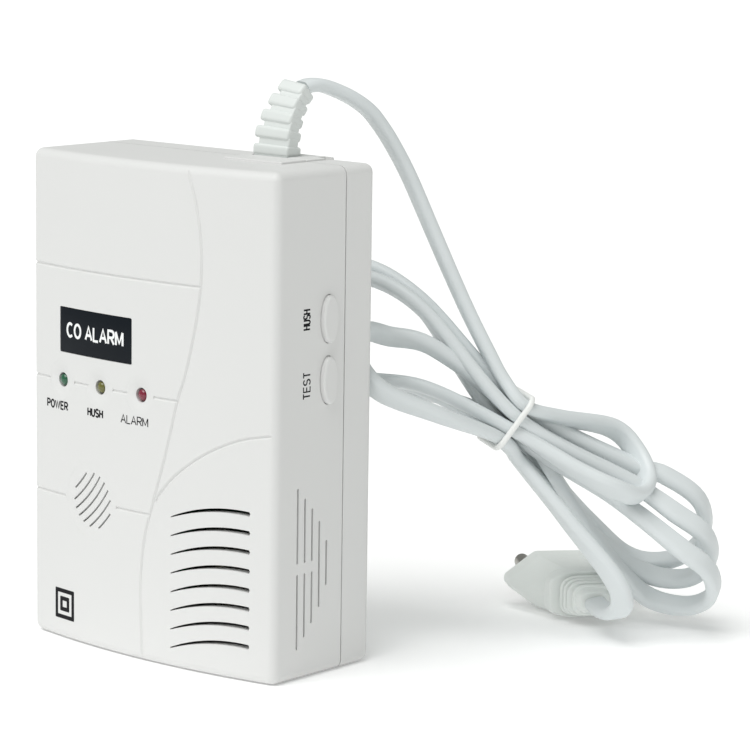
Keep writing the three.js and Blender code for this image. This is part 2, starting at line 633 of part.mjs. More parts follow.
// One lobe: what its side outline and its plan outline, each made thick, have in common.
function lobe({ run, up, side, plan }) {
  const along = new THREE.Vector3(...run).normalize();
  const over = new THREE.Vector3(...up);
  over.addScaledVector(along, -over.dot(along)).normalize();
  const across = new THREE.Vector3().crossVectors(along, over);
  const nearSide = across.x > 0 ? across : across.clone().negate();
  const middle = new THREE.Vector3(...TIE_MIDDLE);
  const prism = (outline, upward, outward) => {
    const shape = new THREE.Shape(outline.map(([u, v]) => new THREE.Vector2(u, v)));
    const flat = new THREE.ExtrudeGeometry(shape, { depth: 120, bevelEnabled: false });
    const basis = new THREE.Matrix4().makeBasis(along, upward, outward).setPosition(middle);
    return toSolid(flat.translate(0, 0, -60).applyMatrix4(basis));
  };
  const sideways = prism(side, over, new THREE.Vector3().crossVectors(along, over));
  const flatways = prism(plan, nearSide, new THREE.Vector3().crossVectors(along, nearSide));
  return sideways.intersect(flatways);
}

function hank() {
  const both = lobe(LOBES[0]).add(lobe(LOBES[1]));
  const plugRoom = box(-PLUG.back - 1, PIN.length + 1, -18.3, 18.3, -7, 7.3);
  return carve(both, [
    box(-100, 150, -50, REAR_Y + 0.6, -50, 200),
    box(-100, 150, -50, 200, -50, 0.4),
    sweep(LEAD_RUN, leadSection(GAP), LEAD_WIDE, 24),
    sweep(TAIL_RUN, leadSection(GAP), TAIL_WIDE, 20),
    tieRing(GAP),
    placePlug(plugRoom),
  ]);
}

function addLead() {
  add('lead_upper', sweep(LEAD_RUN, leadSection(), LEAD_WIDE, 24), LEAD_WHITE, 0.45);
  add('lead_tail', sweep(TAIL_RUN, leadSection(), TAIL_WIDE, 20), LEAD_WHITE, 0.45);
  add('cord_hank', toGeometry(hank()), LEAD_WHITE, 0.45);
  add('cord_tie', toGeometry(toSolid(tieRing())), 0xeceeee, 0.4);
}

// ---------- Plug ----------

function placePlug(geometry) {
  return geometry
    .rotateZ(THREE.MathUtils.degToRad(PLUG.heading))
    .translate(PLUG.x, PLUG.y, PLUG.tall / 2);
}

// A length of the plug between two stations, each with its half width and half height.
function plugBlock(shape, x0, size0, x1, size1) {
  return taper(shape, (point, far) => {
    const [a, b] = far ? size1 : size0;
    point.set(far ? x1 : x0, point.x * a, point.y * b);
  });
}

function plugBody() {
  const { wide, tall, back } = PLUG;
  const hexagon = new THREE.Shape([
    [1, -0.14], [1, 0.14], [0.94, 0.3], [0.6, 0.94], [0.52, 1], [-0.52, 1], [-0.6, 0.94],
    [-0.94, 0.3], [-1, 0.14], [-1, -0.14], [-0.94, -0.3], [-0.6, -0.94], [-0.52, -1],
    [0.52, -1], [0.6, -0.94], [0.94, -0.3],
  ].map(([u, v]) => new THREE.Vector2(u, v)));
  const soft = roundedRect(0, 0, 2, 2, 0.55);
  const face = [wide / 2, tall / 2];
  const ribs = [[-22.6, 7.4, 5.2], [-25.0, 6.2, 4.6], [-27.2, 5.2, 4.0]];
  const body = join([
    plugBlock(hexagon, -6, face, 0, face),
    plugBlock(hexagon, -17.5, [10.2, 6.1], -6, face),
    plugBlock(soft, -20.4, [9.6, 5.9], -16.5, [10.6, 6.4]),
    plugBlock(soft, -back, [3.8, 2.8], -20, [7.0, 4.4]),
    ...ribs.map(([x, a, b]) => plugBlock(soft, x, [a - 0.5, b - 0.4], x + 1.4, [a, b])),
  ]);
  const holes = [-1, 1].flatMap((way) => [
    rodX(way * PIN.pitch / 2, 0, 2.2, -3.3, 1, 14),
    rodX(way * PIN.pitch / 2, 0, 1.5, -6.3, 0, 12),
  ]);
  return placePlug(toGeometry(carve(body, holes)));
}

function addPlug() {
  add('plug_body', plugBody(), LEAD_WHITE, 0.45);
  [-1, 1].forEach((way, i) => {
    const y = way * PIN.pitch / 2;
    const sleeve = carve(toSolid(rodX(y, 0, 1.9, -3, PIN.sleeve, 14)), [rodX(y, 0, 1.5, -4, 11, 12)]);
    add(`plug_sleeve_${i + 1}`, placePlug(toGeometry(sleeve)), 0x2a2c2e, 0.5);
    const pin = join([
      rodX(y, 0, 1.2, -6, PIN.sleeve + 1, 12),
      rodX(y, 0, PIN.radius, PIN.sleeve + GAP, PIN.length - 0.8, 14),
      rodX(y, 0, PIN.radius - 0.6, PIN.length - 1, PIN.length, 14),
    ]);
    add(`plug_pin_${i + 1}`, placePlug(toGeometry(pin)), 0xb8babd, 0.25, 1);
  });
}

// ---------- Assembly ----------

add('front_cover', toGeometry(frontCover()), WHITE, 0.5);
add('rear_cover', toGeometry(rearCover()), WHITE, 0.5);
addFaceParts();
addBoard();
addElectronics();
addButtons();
addCaseScrews();
add('strain_relief', toGeometry(strainRelief()), LEAD_WHITE, 0.5);
addWires();
addLead();
addPlug();

export default object;
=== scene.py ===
"""A mains carbon monoxide detector on its base, with its flat lead and plug.

Metres in the objects; millimetres in the sizes below, turned by MM. Front face towards -Y, +Z up.
"""
import math

import bmesh
import bpy
from mathutils import Matrix, Vector


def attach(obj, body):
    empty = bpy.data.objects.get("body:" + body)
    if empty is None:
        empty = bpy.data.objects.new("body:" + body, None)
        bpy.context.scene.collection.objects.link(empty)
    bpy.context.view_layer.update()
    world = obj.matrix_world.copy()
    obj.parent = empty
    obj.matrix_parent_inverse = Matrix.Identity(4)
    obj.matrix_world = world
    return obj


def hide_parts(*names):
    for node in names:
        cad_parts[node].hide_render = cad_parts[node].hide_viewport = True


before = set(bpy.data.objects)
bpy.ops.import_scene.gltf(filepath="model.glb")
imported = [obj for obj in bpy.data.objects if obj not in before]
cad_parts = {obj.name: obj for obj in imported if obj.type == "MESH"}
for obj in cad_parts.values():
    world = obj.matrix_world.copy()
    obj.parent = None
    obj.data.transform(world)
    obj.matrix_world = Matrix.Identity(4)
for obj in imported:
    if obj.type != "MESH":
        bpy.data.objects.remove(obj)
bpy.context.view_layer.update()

MM = 0.001
scene = bpy.context.scene

# ---------------------------------------------------------------- Camera
# A long lens a little above the case, looking at its right front corner.
CAMERA_PLACE = (0.519163, -0.545472, 0.194299)
CAMERA_RIGHT = (0.75951909, 0.65033244, 0.0140878)
CAMERA_UP = (-0.11972163, 0.11846913, 0.98571385)
CAMERA_BACK = (0.63937272, -0.75035511, 0.16783842)

lens = bpy.data.cameras.new("camera")
lens.sensor_width = 36
lens.lens = 154.54
lens.clip_start = 0.05
camera = bpy.data.objects.new("camera", lens)
turn = Matrix((CAMERA_RIGHT, CAMERA_UP, CAMERA_BACK)).transposed().to_4x4()
camera.matrix_world = Matrix.Translation(CAMERA_PLACE) @ turn
scene.collection.objects.link(camera)
scene.camera = camera

# ---------------------------------------------------------------- Mains lead
# Flat twin flex, 5.6 x 3.2 mm, its white PVC sheath extruded round two cores. It leaves the
# relief on the case, is folded nine strands thick in a hank, tied at its waist, and ends in the
# moulded plug. Its sheath bends about its wide way, so it lies flat in every fold.
LEAD_WIDE = 5.6
LEAD_THICK = 3.2
LEAD_STEP = 1.5
TIE_MIDDLE = Vector((50.1, 54.9, 54.2))
TIE_WIDE = Vector((0.80, -0.60, 0.02))
TIE_TALL = Vector((0.34, 0.49, 0.80))
RUN_LEFT = Vector((-0.49, -0.65, 0.58))
RUN_RIGHT = Vector((0.49, 0.62, -0.61))
LEAD_RUN = [
    (16.75, 16.6, 133.9), (17.0, 17.5, 134.3), (18.0, 21.0, 134.4), (19.5, 25.0, 133.1),
    (21.5, 29.0, 131.0), (23.2, 33.0, 128.0), (24.5, 36.2, 124.0), (25.8, 39.0, 119.5),
    (28.0, 42.5, 112.0), (31.8, 46.3, 100.0), (36.0, 49.0, 89.0), (40.2, 51.0, 79.5),
    (45.0, 52.6, 70.6), (48.8, 53.8, 64.2),
]
TAIL_RUN = [
    (52.0, 56.3, 44.5), (57.0, 57.5, 39.4), (61.8, 59.0, 34.2), (66.0, 61.0, 28.8),
    (70.0, 63.0, 23.8), (73.6, 65.0, 18.9), (75.8, 66.8, 14.2), (75.2, 68.4, 10.2),
    (71.8, 70.2, 7.6), (66.4, 73.0, 6.8), (60.9, 77.25, 6.85),
]
# Where each strand passes the tie, in order: its row along the tie's tall way, its column.
TIE_ROWS = (4.9, 1.65, -1.65, -4.9)
TIE_COLUMNS = {"near": 3, "middle": -3, "far": -9}
STRANDS = [
    (0, "near"), (2, "near"), (1, "near"), (3, "middle"), (0, "middle"), (2, "far"),
    (2, "middle"), (1, "middle"), (3, "near"),
]
# Each fold: its centre, the side it starts on, and the belly of the strand before and after.
FOLDS = [
    ((67.5, 73.6, 44.7), (-6.0, 7.5, 5.6), RUN_RIGHT, [(57.5, 65.0, 54.5)], [(66.0, 61.0, 43.5)]),
    ((17.2, 37.9, 75.0), (2.5, -1.9, -12.0), RUN_LEFT, [(37.0, 39.0, 62.5)], [(32.0, 42.5, 81.0)]),
    ((72.0, 87.9, 22.1), (7.5, -4.9, 9.6), RUN_RIGHT, [(71.0, 77.0, 38.5)], [(57.5, 84.0, 20.5)]),
    ((12.3, 42.8, 75.2), (2.2, -1.5, -13.9), RUN_LEFT, [(32.0, 43.0, 61.0)], [(29.0, 46.0, 82.5)]),
    ((65.3, 92.1, 27.0), (7.2, -3.6, 12.0), RUN_RIGHT, [(66.0, 81.5, 42.5)], [(54.0, 83.0, 26.0)]),
    ((8.8, 47.6, 72.9), (1.8, -1.1, -13.7), RUN_LEFT, [(28.0, 47.5, 59.0)], [(25.5, 50.0, 80.0)]),
    ((75.6, 85.1, 15.6), (8.0, -5.1, 8.4), RUN_RIGHT, [(69.0, 72.5, 35.5)],
     [(64.0, 83.0, 14.5), (59.5, 75.5, 25.5)]),
    ((33.5, 28.9, 68.7), (-5.3, 6.4, 5.6), RUN_LEFT, [(37.5, 42.0, 71.5)], [(46.5, 33.5, 57.5)]),
]


def tie_slot(strand):
    row, column = STRANDS[strand]
    return TIE_MIDDLE + TIE_TALL * TIE_ROWS[row] + TIE_WIDE * TIE_COLUMNS[column]


def fold_points(centre, side, reach_way):
    """Half a circle of the lead round the fold's centre, and the way its flat side faces."""
    centre, side = Vector(centre), Vector(side)
    reach = reach_way - side * reach_way.dot(side) / side.length_squared
    reach = reach.normalized() * side.length
    facing = side.cross(reach).normalized()
    if facing.dot(TIE_WIDE) < 0:
        facing = -facing
    angles = [math.pi * i / 4 for i in range(5)]
    return [centre + side * math.cos(a) + reach * math.sin(a) for a in angles], facing


def lead_route():
    """The lead's centre points and, at each, the way across its wide side."""
    points, across = [], []

    def go(place, way):
        points.append(Vector(place))
        across.append(Vector(way).normalized())

    first, last = Vector((0.98, -0.18, 0.0)), Vector((0.64, 0.72, 0.2))
    for i, place in enumerate(LEAD_RUN):
        go(place, first.lerp(TIE_WIDE, i / (len(LEAD_RUN) - 1)))
    for strand, (centre, side, reach_way, before, after) in enumerate(FOLDS):
        go(tie_slot(strand), TIE_WIDE)
        fold, facing = fold_points(centre, side, reach_way)
        for place in before:
            go(place, TIE_WIDE + facing)
        for place in fold:
            go(place, facing)
        for place in after:
            go(place, TIE_WIDE + facing)
    go(tie_slot(len(FOLDS)), TIE_WIDE)
    for i, place in enumerate(TAIL_RUN):
        go(place, TIE_WIDE.lerp(last, i / (len(TAIL_RUN) - 1)))
    return points, across


def smooth_between(values, i, t):
    """A Catmull-Rom curve through a list, at the fraction t after its item i."""
    a = values[max(i - 1, 0)]
    b = values[i]
    c = values[i + 1]
    d = values[min(i + 2, len(values) - 1)]
    return 0.5 * (2 * b + (c - a) * t + (2 * a - 5 * b + 4 * c - d) * t * t
                  + (3 * b - a - 3 * c + d) * t * t * t)


def spaced_route():
    """The route again, at even steps along its length."""
    points, across = lead_route()
    dense = []
    for i in range(len(points) - 1):
        for k in range(40):
            t = k / 40
            way = across[i].lerp(across[i + 1], t)
            dense.append((smooth_between(points, i, t), way))
    dense.append((points[-1], across[-1]))
    spaced = [dense[0]]
    travelled = 0.0
    for (before, _), (place, way) in zip(dense, dense[1:]):
        travelled += (place - before).length
        if travelled >= LEAD_STEP:
            spaced.append((place, way))
            travelled = 0.0
    spaced[-1] = dense[-1]
    return spaced


def lead_section(count=24):
    """The sheath's outline: two half circles joined by flat sides."""
    radius, straight = LEAD_THICK / 2, (LEAD_WIDE - LEAD_THICK) / 2
    outline = []
    for i in range(count):
        angle = 2 * math.pi * (i + 0.5) / count
        shift = straight if math.cos(angle) > 0 else -straight
        outline.append((shift + radius * math.cos(angle), radius * math.sin(angle)))
    return outline


def finished(name, bm, *materials, sharp=40, doubles=True):
    """Turns a bmesh in millimetres into a shown piece with faces outwards."""
    if doubles:
        bmesh.ops.remove_doubles(bm, verts=bm.verts, dist=1e-4)
        bmesh.ops.recalc_face_normals(bm, faces=bm.faces)
    bmesh.ops.scale(bm, vec=(MM, MM, MM), verts=bm.verts)
    mesh = bpy.data.meshes.new(name)
    bm.to_mesh(mesh)
    bm.free()
    mesh.shade_smooth()
    mesh.set_sharp_from_angle(angle=math.radians(sharp))
    for material in materials:
        mesh.materials.append(material)
    piece = bpy.data.objects.new(name, mesh)
    scene.collection.objects.link(piece)
    return piece


def linear(hexcode, alpha=1.0):
    """An sRGB colour such as "E8E8E6" as linear RGBA."""
    parts = [int(hexcode[i:i + 2], 16) / 255 for i in (0, 2, 4)]
    return (*[c / 12.92 if c <= 0.04045 else ((c + 0.055) / 1.055) ** 2.4 for c in parts], alpha)


def add_node(tree, kind, settings=None, inputs=None):
    """Adds a node; an input is a value, or a (node, output) pair that links to it."""
    node = tree.nodes.new(kind)
    for key, value in (settings or {}).items():
        setattr(node, key, value)
    for key, value in (inputs or {}).items():
        if isinstance(value, tuple) and isinstance(value[0], bpy.types.Node):
            tree.links.new(value[0].outputs[value[1]], node.inputs[key])
        else:
            node.inputs[key].default_value = value
    return node


def new_material(name, colour, roughness, **shader):
    """A material of one Principled shader; returns it with its tree and shader."""
    material = bpy.data.materials.new(name)
    material.use_nodes = True
    tree = material.node_tree
    tree.nodes.clear()
    inputs = {"Base Color": linear(colour), "Roughness": roughness, **shader}
    principled = add_node(tree, "ShaderNodeBsdfPrincipled", {}, inputs)
    add_node(tree, "ShaderNodeOutputMaterial", {}, {"Surface": (principled, "BSDF")})
    return material, tree, principled


def grained(name, colour, roughness, grain, height, spread=0.06, tint=0.02, **shader):
    """Moulded plastic: a fine surface of the grain size in mm, uneven in gloss and colour."""
    material, tree, principled = new_material(name, colour, roughness, **shader)
    place = add_node(tree, "ShaderNodeTexCoord")
    fine = add_node(tree, "ShaderNodeTexNoise", {}, {
        "Vector": (place, "Object"), "Scale": 1000 / grain, "Detail": 3.0, "Roughness": 0.6,
    })
    broad = add_node(tree, "ShaderNodeTexNoise", {}, {
        "Vector": (place, "Object"), "Scale": 45.0, "Detail": 4.0,
    })
    gloss = add_node(tree, "ShaderNodeMapRange", {}, {
        "Value": (broad, "Fac"), "To Min": roughness - spread, "To Max": roughness + spread,
    })
    base = linear(colour)
    low = tuple(c * (1 - tint) for c in base[:3]) + (1.0,)
    high = tuple(min(c * (1 + tint), 1.0) for c in base[:3]) + (1.0,)
    blend = add_node(tree, "ShaderNodeMix", {"data_type": "RGBA"}, {0: (broad, "Fac"), 6: low, 7: high})
    bump = add_node(tree, "ShaderNodeBump", {}, {
        "Height": (fine, "Fac"), "Strength": 1.0, "Distance": height * MM,
    })
    tree.links.new(blend.outputs[2], principled.inputs["Base Color"])
    tree.links.new(gloss.outputs["Result"], principled.inputs["Roughness"])
    tree.links.new(bump.outputs["Normal"], principled.inputs["Normal"])
    return material


# Plasticised PVC, extruded: smooth, softly glossy, a cool grey white with faint unevenness.
lead_pvc = grained("soft PVC sheath", "DCE1E2", 0.42, 1.2, 0.004)

route = spaced_route()
section = lead_section()
tube = bmesh.new()
rings = []
for i, (place, way) in enumerate(route):
    ahead = route[min(i + 1, len(route) - 1)][0] - route[max(i - 1, 0)][0]
    ahead.normalize()
    wide = (way - ahead * way.dot(ahead)).normalized()
    thick = ahead.cross(wide)
    rings.append([tube.verts.new(place + wide * u + thick * v) for u, v in section])
for ring, following in zip(rings, rings[1:]):
    for k in range(len(section)):
        j = (k + 1) % len(section)
        tube.faces.new((ring[k], ring[j], following[j], following[k]))
tube.faces.new(rings[0])
tube.faces.new(rings[-1])
lead = finished("mains_lead", tube, lead_pvc, sharp=60)
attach(lead, "case")
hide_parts("lead_upper", "lead_tail", "cord_hank")

# ---------------------------------------------------------------- Light and floor
# A pale matt floor under one broad soft light, high in front of the case, and an even glow from
# all round that fills the shadows. What the camera sees past the floor is white.
world = bpy.data.worlds.new("studio")
world.use_nodes = True
sky = world.node_tree
sky.nodes.clear()
rays = add_node(sky, "ShaderNodeLightPath")
glow = add_node(sky, "ShaderNodeBackground", {}, {"Color": (0.972, 1.0, 0.97, 1), "Strength": 0.43})
backdrop = add_node(sky, "ShaderNodeBackground", {}, {"Color": (1, 1, 1, 1), "Strength": 1.0})
choice = add_node(sky, "ShaderNodeMixShader", {}, {
    0: (rays, "Is Camera Ray"), 1: (glow, "Background"), 2: (backdrop, "Background"),
})
add_node(sky, "ShaderNodeOutputWorld", {}, {"Surface": (choice, "Shader")})
scene.world = world
scene.view_settings.view_transform = "Standard"
scene.view_settings.look = "None"

sun_data = bpy.data.lights.new("key", "SUN")
sun_data.angle = math.radians(50)
sun_data.energy = 2.1
sun = bpy.data.objects.new("key", sun_data)
sun.rotation_euler = Vector((-0.03, -0.48, 0.87)).to_track_quat("Z", "Y").to_euler()
scene.collection.objects.link(sun)

# White paint: no gloss, with a faint lift of its own that keeps the shadows light.
floor_paint = grained("matt white paint", "FCFCFC", 0.9, 4.0, 0.01, tint=0.003, **{
    "Emission Color": (1, 1, 1, 1), "Emission Strength": 0.14,
})
ground = bmesh.new()
bmesh.ops.create_grid(ground, x_segments=8, y_segments=8, size=3000)
bmesh.ops.translate(ground, vec=(0, 0, -0.1), verts=ground.verts)
floor = finished("floor", ground, floor_paint)

# ---------------------------------------------------------------- Front cover
# The deep half of the case, injection moulded in white ABS with a fine matt surface. Shallow
# V grooves part its face into panels; the lamps and the sounder sit in faint dishes in it.
WIDTH, HEIGHT, FRONT_Y, REAR_Y = 79.0, 118.0, -17.0, 17.0
WALL = 2.2
EDGE_RADIUS = 2.2
SEAM_Y = 6.5
SEAM_GAP = 0.34
LANDING_LEFT, LANDING_RIGHT, LANDING_FRONT, LANDING_REAR = 9.2, 27.4, -2.3, 15.8
LANDING_TOP = HEIGHT + 0.5
CROWN_RISE, CROWN_HALF, CROWN_FULL_Y, CROWN_END_Y, CROWN_STEP = 3.6, 37.3, -12.0, -3.0, 2.0
GROOVE_WIDTH, GROOVE_DEPTH = 0.95, 0.4
LAMP_ROW_Z = 63.4
LAMP_X = {"led_power": -27.8, "led_hush": -13.8, "led_alarm": 0.2}
LAMP_DISH, LAMP_DISH_DEPTH, LAMP_HOLE = 4.6, 0.8, 1.75
LABEL_X, LABEL_Z, LABEL_WIDTH, LABEL_HEIGHT = -15.4, 75.7, 25.8, 10.8
GRILLE_X, GRILLE_Z, GRILLE_RADIUS, GRILLE_PITCH, GRILLE_BOW = -16.1, 35.8, 6.8, 2.02, 38.0
GRILLE_SLOT = 0.5
VENT_COUNT, VENT_LEFT, VENT_RIGHT, VENT_Z, VENT_PITCH = 8, 10.1, 32.6, 4.8, 4.45
BUTTON_Y, BUTTON_WIDE, BUTTON_TALL, BUTTON_PROUD = 0.8, 5.1, 11.0, 1.28
BUTTON_PLAY = 0.36
BUTTON_Z = {"hush_button": 83.4, "test_button": 69.2}
SIDE_SLOTS = [
    (-9.0, 7.3, 25.1), (-9.0, 27.5, 45.2), (-6.5, 9.9, 25.1), (-6.5, 27.5, 42.6),
    (-4.0, 12.8, 25.1), (-4.0, 27.5, 39.9), (-1.5, 16.2, 36.6), (1.0, 21.0, 31.7),
]
SIDE_SLOT_WIDTH = 0.6
RELIEF_X, RELIEF_Y = 15.5, 9.5
LONG_CURVE = [
    (14.2, 119.8), (14.8, 117.2), (16.7, 111.5), (18.2, 105.3), (18.9, 98.9), (18.8, 91.2),
    (17.8, 83.9), (15.9, 75.3), (14.1, 68.9), (12.0, 63.2), (8.4, 50.2), (4.3, 37.6),
    (1.9, 29.7), (0.7, 20.2), (0.7, 12.0), (1.2, 1.3), (1.3, -1.5),
]
ARC = [(38.6, 58.2), (35.4, 57.6), (31.6, 56.8), (27.2, 55.3), (23.2, 53.5), (20.2, 51.9), (17.1, 50.0),
       (14.0, 47.8), (11.3, 45.7), (8.6, 43.1), (6.1, 40.2), (5.3, 38.9)]


def rounded(bm, edges, radius, segments):
    """Rounds edges off."""
    bmesh.ops.bevel(bm, geom=edges, offset=radius, segments=segments, profile=0.5,
                    affect="EDGES", material=-1)


def block(low, high, radius=0.0, segments=4, pick=None):
    """A box between two corners, its edges (all, or those picked) rounded."""
    bm = bmesh.new()
    bmesh.ops.create_cube(bm, size=1)
    size = [h - l for l, h in zip(low, high)]
    bmesh.ops.scale(bm, vec=size, verts=bm.verts)
    bmesh.ops.translate(bm, vec=[(l + h) / 2 for l, h in zip(low, high)], verts=bm.verts)
    if radius:
        edges = [e for e in bm.edges if pick is None or pick(e)]
        rounded(bm, edges, radius, segments)
    return bm


def prism(outline, axis, low, high, bm=None):
    """A closed outline in the two other axes, made thick along one axis."""
    bm = bm or bmesh.new()
    order = {"X": lambda u, v: (low, u, v), "Y": lambda u, v: (u, low, v), "Z": lambda u, v: (u, v, low)}
    face = bm.faces.new([bm.verts.new(order[axis](u, v)) for u, v in outline])
    grown = bmesh.ops.extrude_face_region(bm, geom=[face])
    shift = [high - low if axis == a else 0 for a in "XYZ"]
    bmesh.ops.translate(bm, vec=shift, verts=[v for v in grown["geom"] if isinstance(v, bmesh.types.BMVert)])
    bmesh.ops.recalc_face_normals(bm, faces=bm.faces)
    return bm


def turned(profile, centre, axis="Y", steps=48):
    """A profile of (radius, place along the axis) points, spun round the axis through the centre."""
    bm = bmesh.new()
    verts = [bm.verts.new((r, 0, h)) for r, h in profile]
    edges = [bm.edges.new(pair) for pair in zip(verts, verts[1:])]
    bmesh.ops.spin(bm, geom=verts + edges, cent=(0, 0, 0), axis=(0, 0, 1), angle=2 * math.pi,
                   steps=steps, use_merge=True)
    bmesh.ops.remove_doubles(bm, verts=bm.verts, dist=1e-4)
    bmesh.ops.recalc_face_normals(bm, faces=bm.faces)
    turn_by = {"Z": Matrix.Identity(3), "Y": Matrix.Rotation(-math.pi / 2, 3, "X"),
               "X": Matrix.Rotation(math.pi / 2, 3, "Y")}[axis]
    bmesh.ops.transform(bm, matrix=Matrix.Translation(centre) @ turn_by.to_4x4(), verts=bm.verts)
    return bm


def rod(centre, axis, radius, low, high, steps=40):
    return turned([(0, low), (radius, low), (radius, high), (0, high)], centre, axis, steps)


def oval_outline(u, v, wide, tall, count=56):
    angles = [2 * math.pi * i / count for i in range(count)]
    return [(u + wide / 2 * math.cos(a), v + tall / 2 * math.sin(a)) for a in angles]


def slot_outline(u, v0, v1, wide, count=6):
    """An upright slot with round ends."""
    r = wide / 2
    ends = [(v1 - r, 0), (v0 + r, math.pi)]
    return [(u + r * math.cos(start + math.pi * i / count), middle + r * math.sin(start + math.pi * i / count))
            for middle, start in ends for i in range(count + 1)]


def rounded_outline(u, v, wide, tall, radius, count=6):
    corners = [(wide / 2 - radius, tall / 2 - radius, 0), (radius - wide / 2, tall / 2 - radius, 90),
               (radius - wide / 2, radius - tall / 2, 180), (wide / 2 - radius, radius - tall / 2, 270)]
    outline = []
    for du, dv, start in corners:
        for i in range(count + 1):
            a = math.radians(start + 90 * i / count)
            outline.append((u + du + radius * math.cos(a), v + dv + radius * math.sin(a)))
    return outline


def carved(body, cutters, operation="DIFFERENCE"):
    """Cuts each bmesh out of the body, or joins it on."""
    def held(bm):
        mesh = bpy.data.meshes.new("cut")
        bm.to_mesh(mesh)
        bm.free()
        thing = bpy.data.objects.new("cut", mesh)
        scene.collection.objects.link(thing)
        return thing

    base = held(body)
    tools = [held(cutter) for cutter in cutters]
    for tool in tools:
        cut = base.modifiers.new("cut", "BOOLEAN")
        cut.operation = operation
        cut.solver = "EXACT"
        cut.object = tool
    graph = bpy.context.evaluated_depsgraph_get()
    result = bmesh.new()
    result.from_mesh(base.evaluated_get(graph).to_mesh())
    for thing in [base, *tools]:
        bpy.data.meshes.remove(thing.data)
    return result


def groove(points, outwards):
    """A V-shaped cutter that follows surface points, each with its outward way."""
    bm = bmesh.new()
    above = 0.5
    spread = GROOVE_WIDTH / 2 * (1 + above / GROOVE_DEPTH)
    sections = []
    for i, (place, out_way) in enumerate(zip(points, outwards)):
        ahead = Vector(points[min(i + 1, len(points) - 1)]) - Vector(points[max(i - 1, 0)])
        side = ahead.cross(Vector(out_way)).normalized() * spread
        top = Vector(place) + Vector(out_way) * above
        sections.append([bm.verts.new(p) for p in
                         (top - side, Vector(place) - Vector(out_way) * GROOVE_DEPTH, top + side)])
    for near, far in zip(sections, sections[1:]):
        for k in range(3):
            bm.faces.new((near[k], near[(k + 1) % 3], far[(k + 1) % 3], far[k]))
    bm.faces.new(sections[0])
    bm.faces.new(sections[-1])
    bmesh.ops.recalc_face_normals(bm, faces=bm.faces)
    return bm


def face_groove(line, smooth=True):
    """A groove along points (x, z) of the flat face."""
    places = [Vector((x, FRONT_Y, z)) for x, z in line]
    if smooth:
        places = [smooth_between(places, i, k / 5) for i in range(len(places) - 1) for k in range(5)]
        places.append(Vector((line[-1][0], FRONT_Y, line[-1][1])))
    return groove(places, [Vector((0, -1, 0))] * len(places))


def edge_groove(z, right):
    """A level groove that comes round the left edge and runs to the right end given."""
    places, outwards = [], []
    left = -WIDTH / 2
    for degrees in range(0, 91, 10):
        a = math.radians(degrees)
        out_way = Vector((-math.cos(a), -math.sin(a), 0))
        places.append(Vector((left + EDGE_RADIUS, FRONT_Y + EDGE_RADIUS, z)) + out_way * EDGE_RADIUS)
        outwards.append(out_way)
    places.append(Vector((right, FRONT_Y, z)))
    outwards.append(Vector((0, -1, 0)))
    return groove(places, outwards)


def dish(x, z, radius, depth):
    """A shallow dish that fades into the face."""
    count = 10
    profile = [(radius * i / count, FRONT_Y + depth * (0.5 + 0.5 * math.cos(math.pi * i / count)) + 0.02)
               for i in range(count + 1)]
    return turned(profile + [(radius + 0.3, FRONT_Y - 1.5), (0, FRONT_Y - 1.5)], (x, 0, z))


def crown_at(x):
    """How far the crowned face stands ahead of its edges."""
    return CROWN_RISE * max(0.0, 1 - (x / CROWN_HALF) ** 2)


def crowned(bm, step=CROWN_STEP):
    """Bends what lies on the flat face forward onto the crown, behind it less and less."""
    lines = int(2 * CROWN_HALF / step)
    for i in range(lines + 1):
        x = -CROWN_HALF + 2 * CROWN_HALF * i / lines
        front = [e for e in bm.edges if min(v.co.y for v in e.verts) < CROWN_END_Y]
        faces = [f for f in bm.faces if min(v.co.y for v in f.verts) < CROWN_END_Y]
        bmesh.ops.bisect_plane(bm, geom=bm.verts[:] + front + faces, plane_co=(x, 0, 0), plane_no=(1, 0, 0))
    for v in bm.verts:
        share = (CROWN_END_Y - v.co.y) / (CROWN_END_Y - CROWN_FULL_Y)
        v.co.y -= crown_at(v.co.x) * min(max(share, 0.0), 1.0)
    return bm


def vent(index):
    """A crescent slot: pointed at its left tip, with a blunt, round right end."""
    low, width, rise = VENT_Z + index * VENT_PITCH, VENT_RIGHT - VENT_LEFT, 4.15

    def bow(start, middle, end, t):
        return start * (1 - t) ** 2 + 2 * middle * t * (1 - t) + end * t * t

    steps = [i / 14 for i in range(15)]
    under = [(VENT_LEFT + width * t, bow(low - 0.1, low + rise - 0.2, low + rise - 1.1, t)) for t in steps]
    over = [(VENT_LEFT + width * t, bow(low + 0.2, low + rise + 0.8, low + rise, t)) for t in reversed(steps)]
    over.insert(0, (VENT_RIGHT + 0.25, low + rise - 0.5))
    return prism(under + over, "Y", FRONT_Y - 1, FRONT_Y + 5)


def grille_slot(index):
    """One bowed slot of the sounder's grille, in lines that climb to the right."""
    across = (index - 3) * GRILLE_PITCH
    half = math.sqrt(max(GRILLE_RADIUS ** 2 - across ** 2, 3.0)) - 0.1
    swing = half / GRILLE_BOW
    ends = [(1, -1), (-1, 1)]
    outline = []
    for side, start in ends:
        radius = GRILLE_BOW + side * GRILLE_SLOT / 2
        for i in range(9):
            a = swing * start * (1 - i / 4)
            u = across - GRILLE_BOW + radius * math.cos(a)
            v = radius * math.sin(a)
            cos, sin = math.cos(math.radians(-45)), math.sin(math.radians(-45))
            outline.append((GRILLE_X + u * cos - v * sin, GRILLE_Z + u * sin + v * cos))
    return prism(outline, "Y", FRONT_Y - 1, FRONT_Y + 5)


def relief_opening():
    """The opening through the top wall that the strain relief's foot fills."""
    return block((RELIEF_X - 5.6, RELIEF_Y - 2.75, HEIGHT - 6),
                 (RELIEF_X + 5.6, RELIEF_Y + 2.75, HEIGHT + 3))


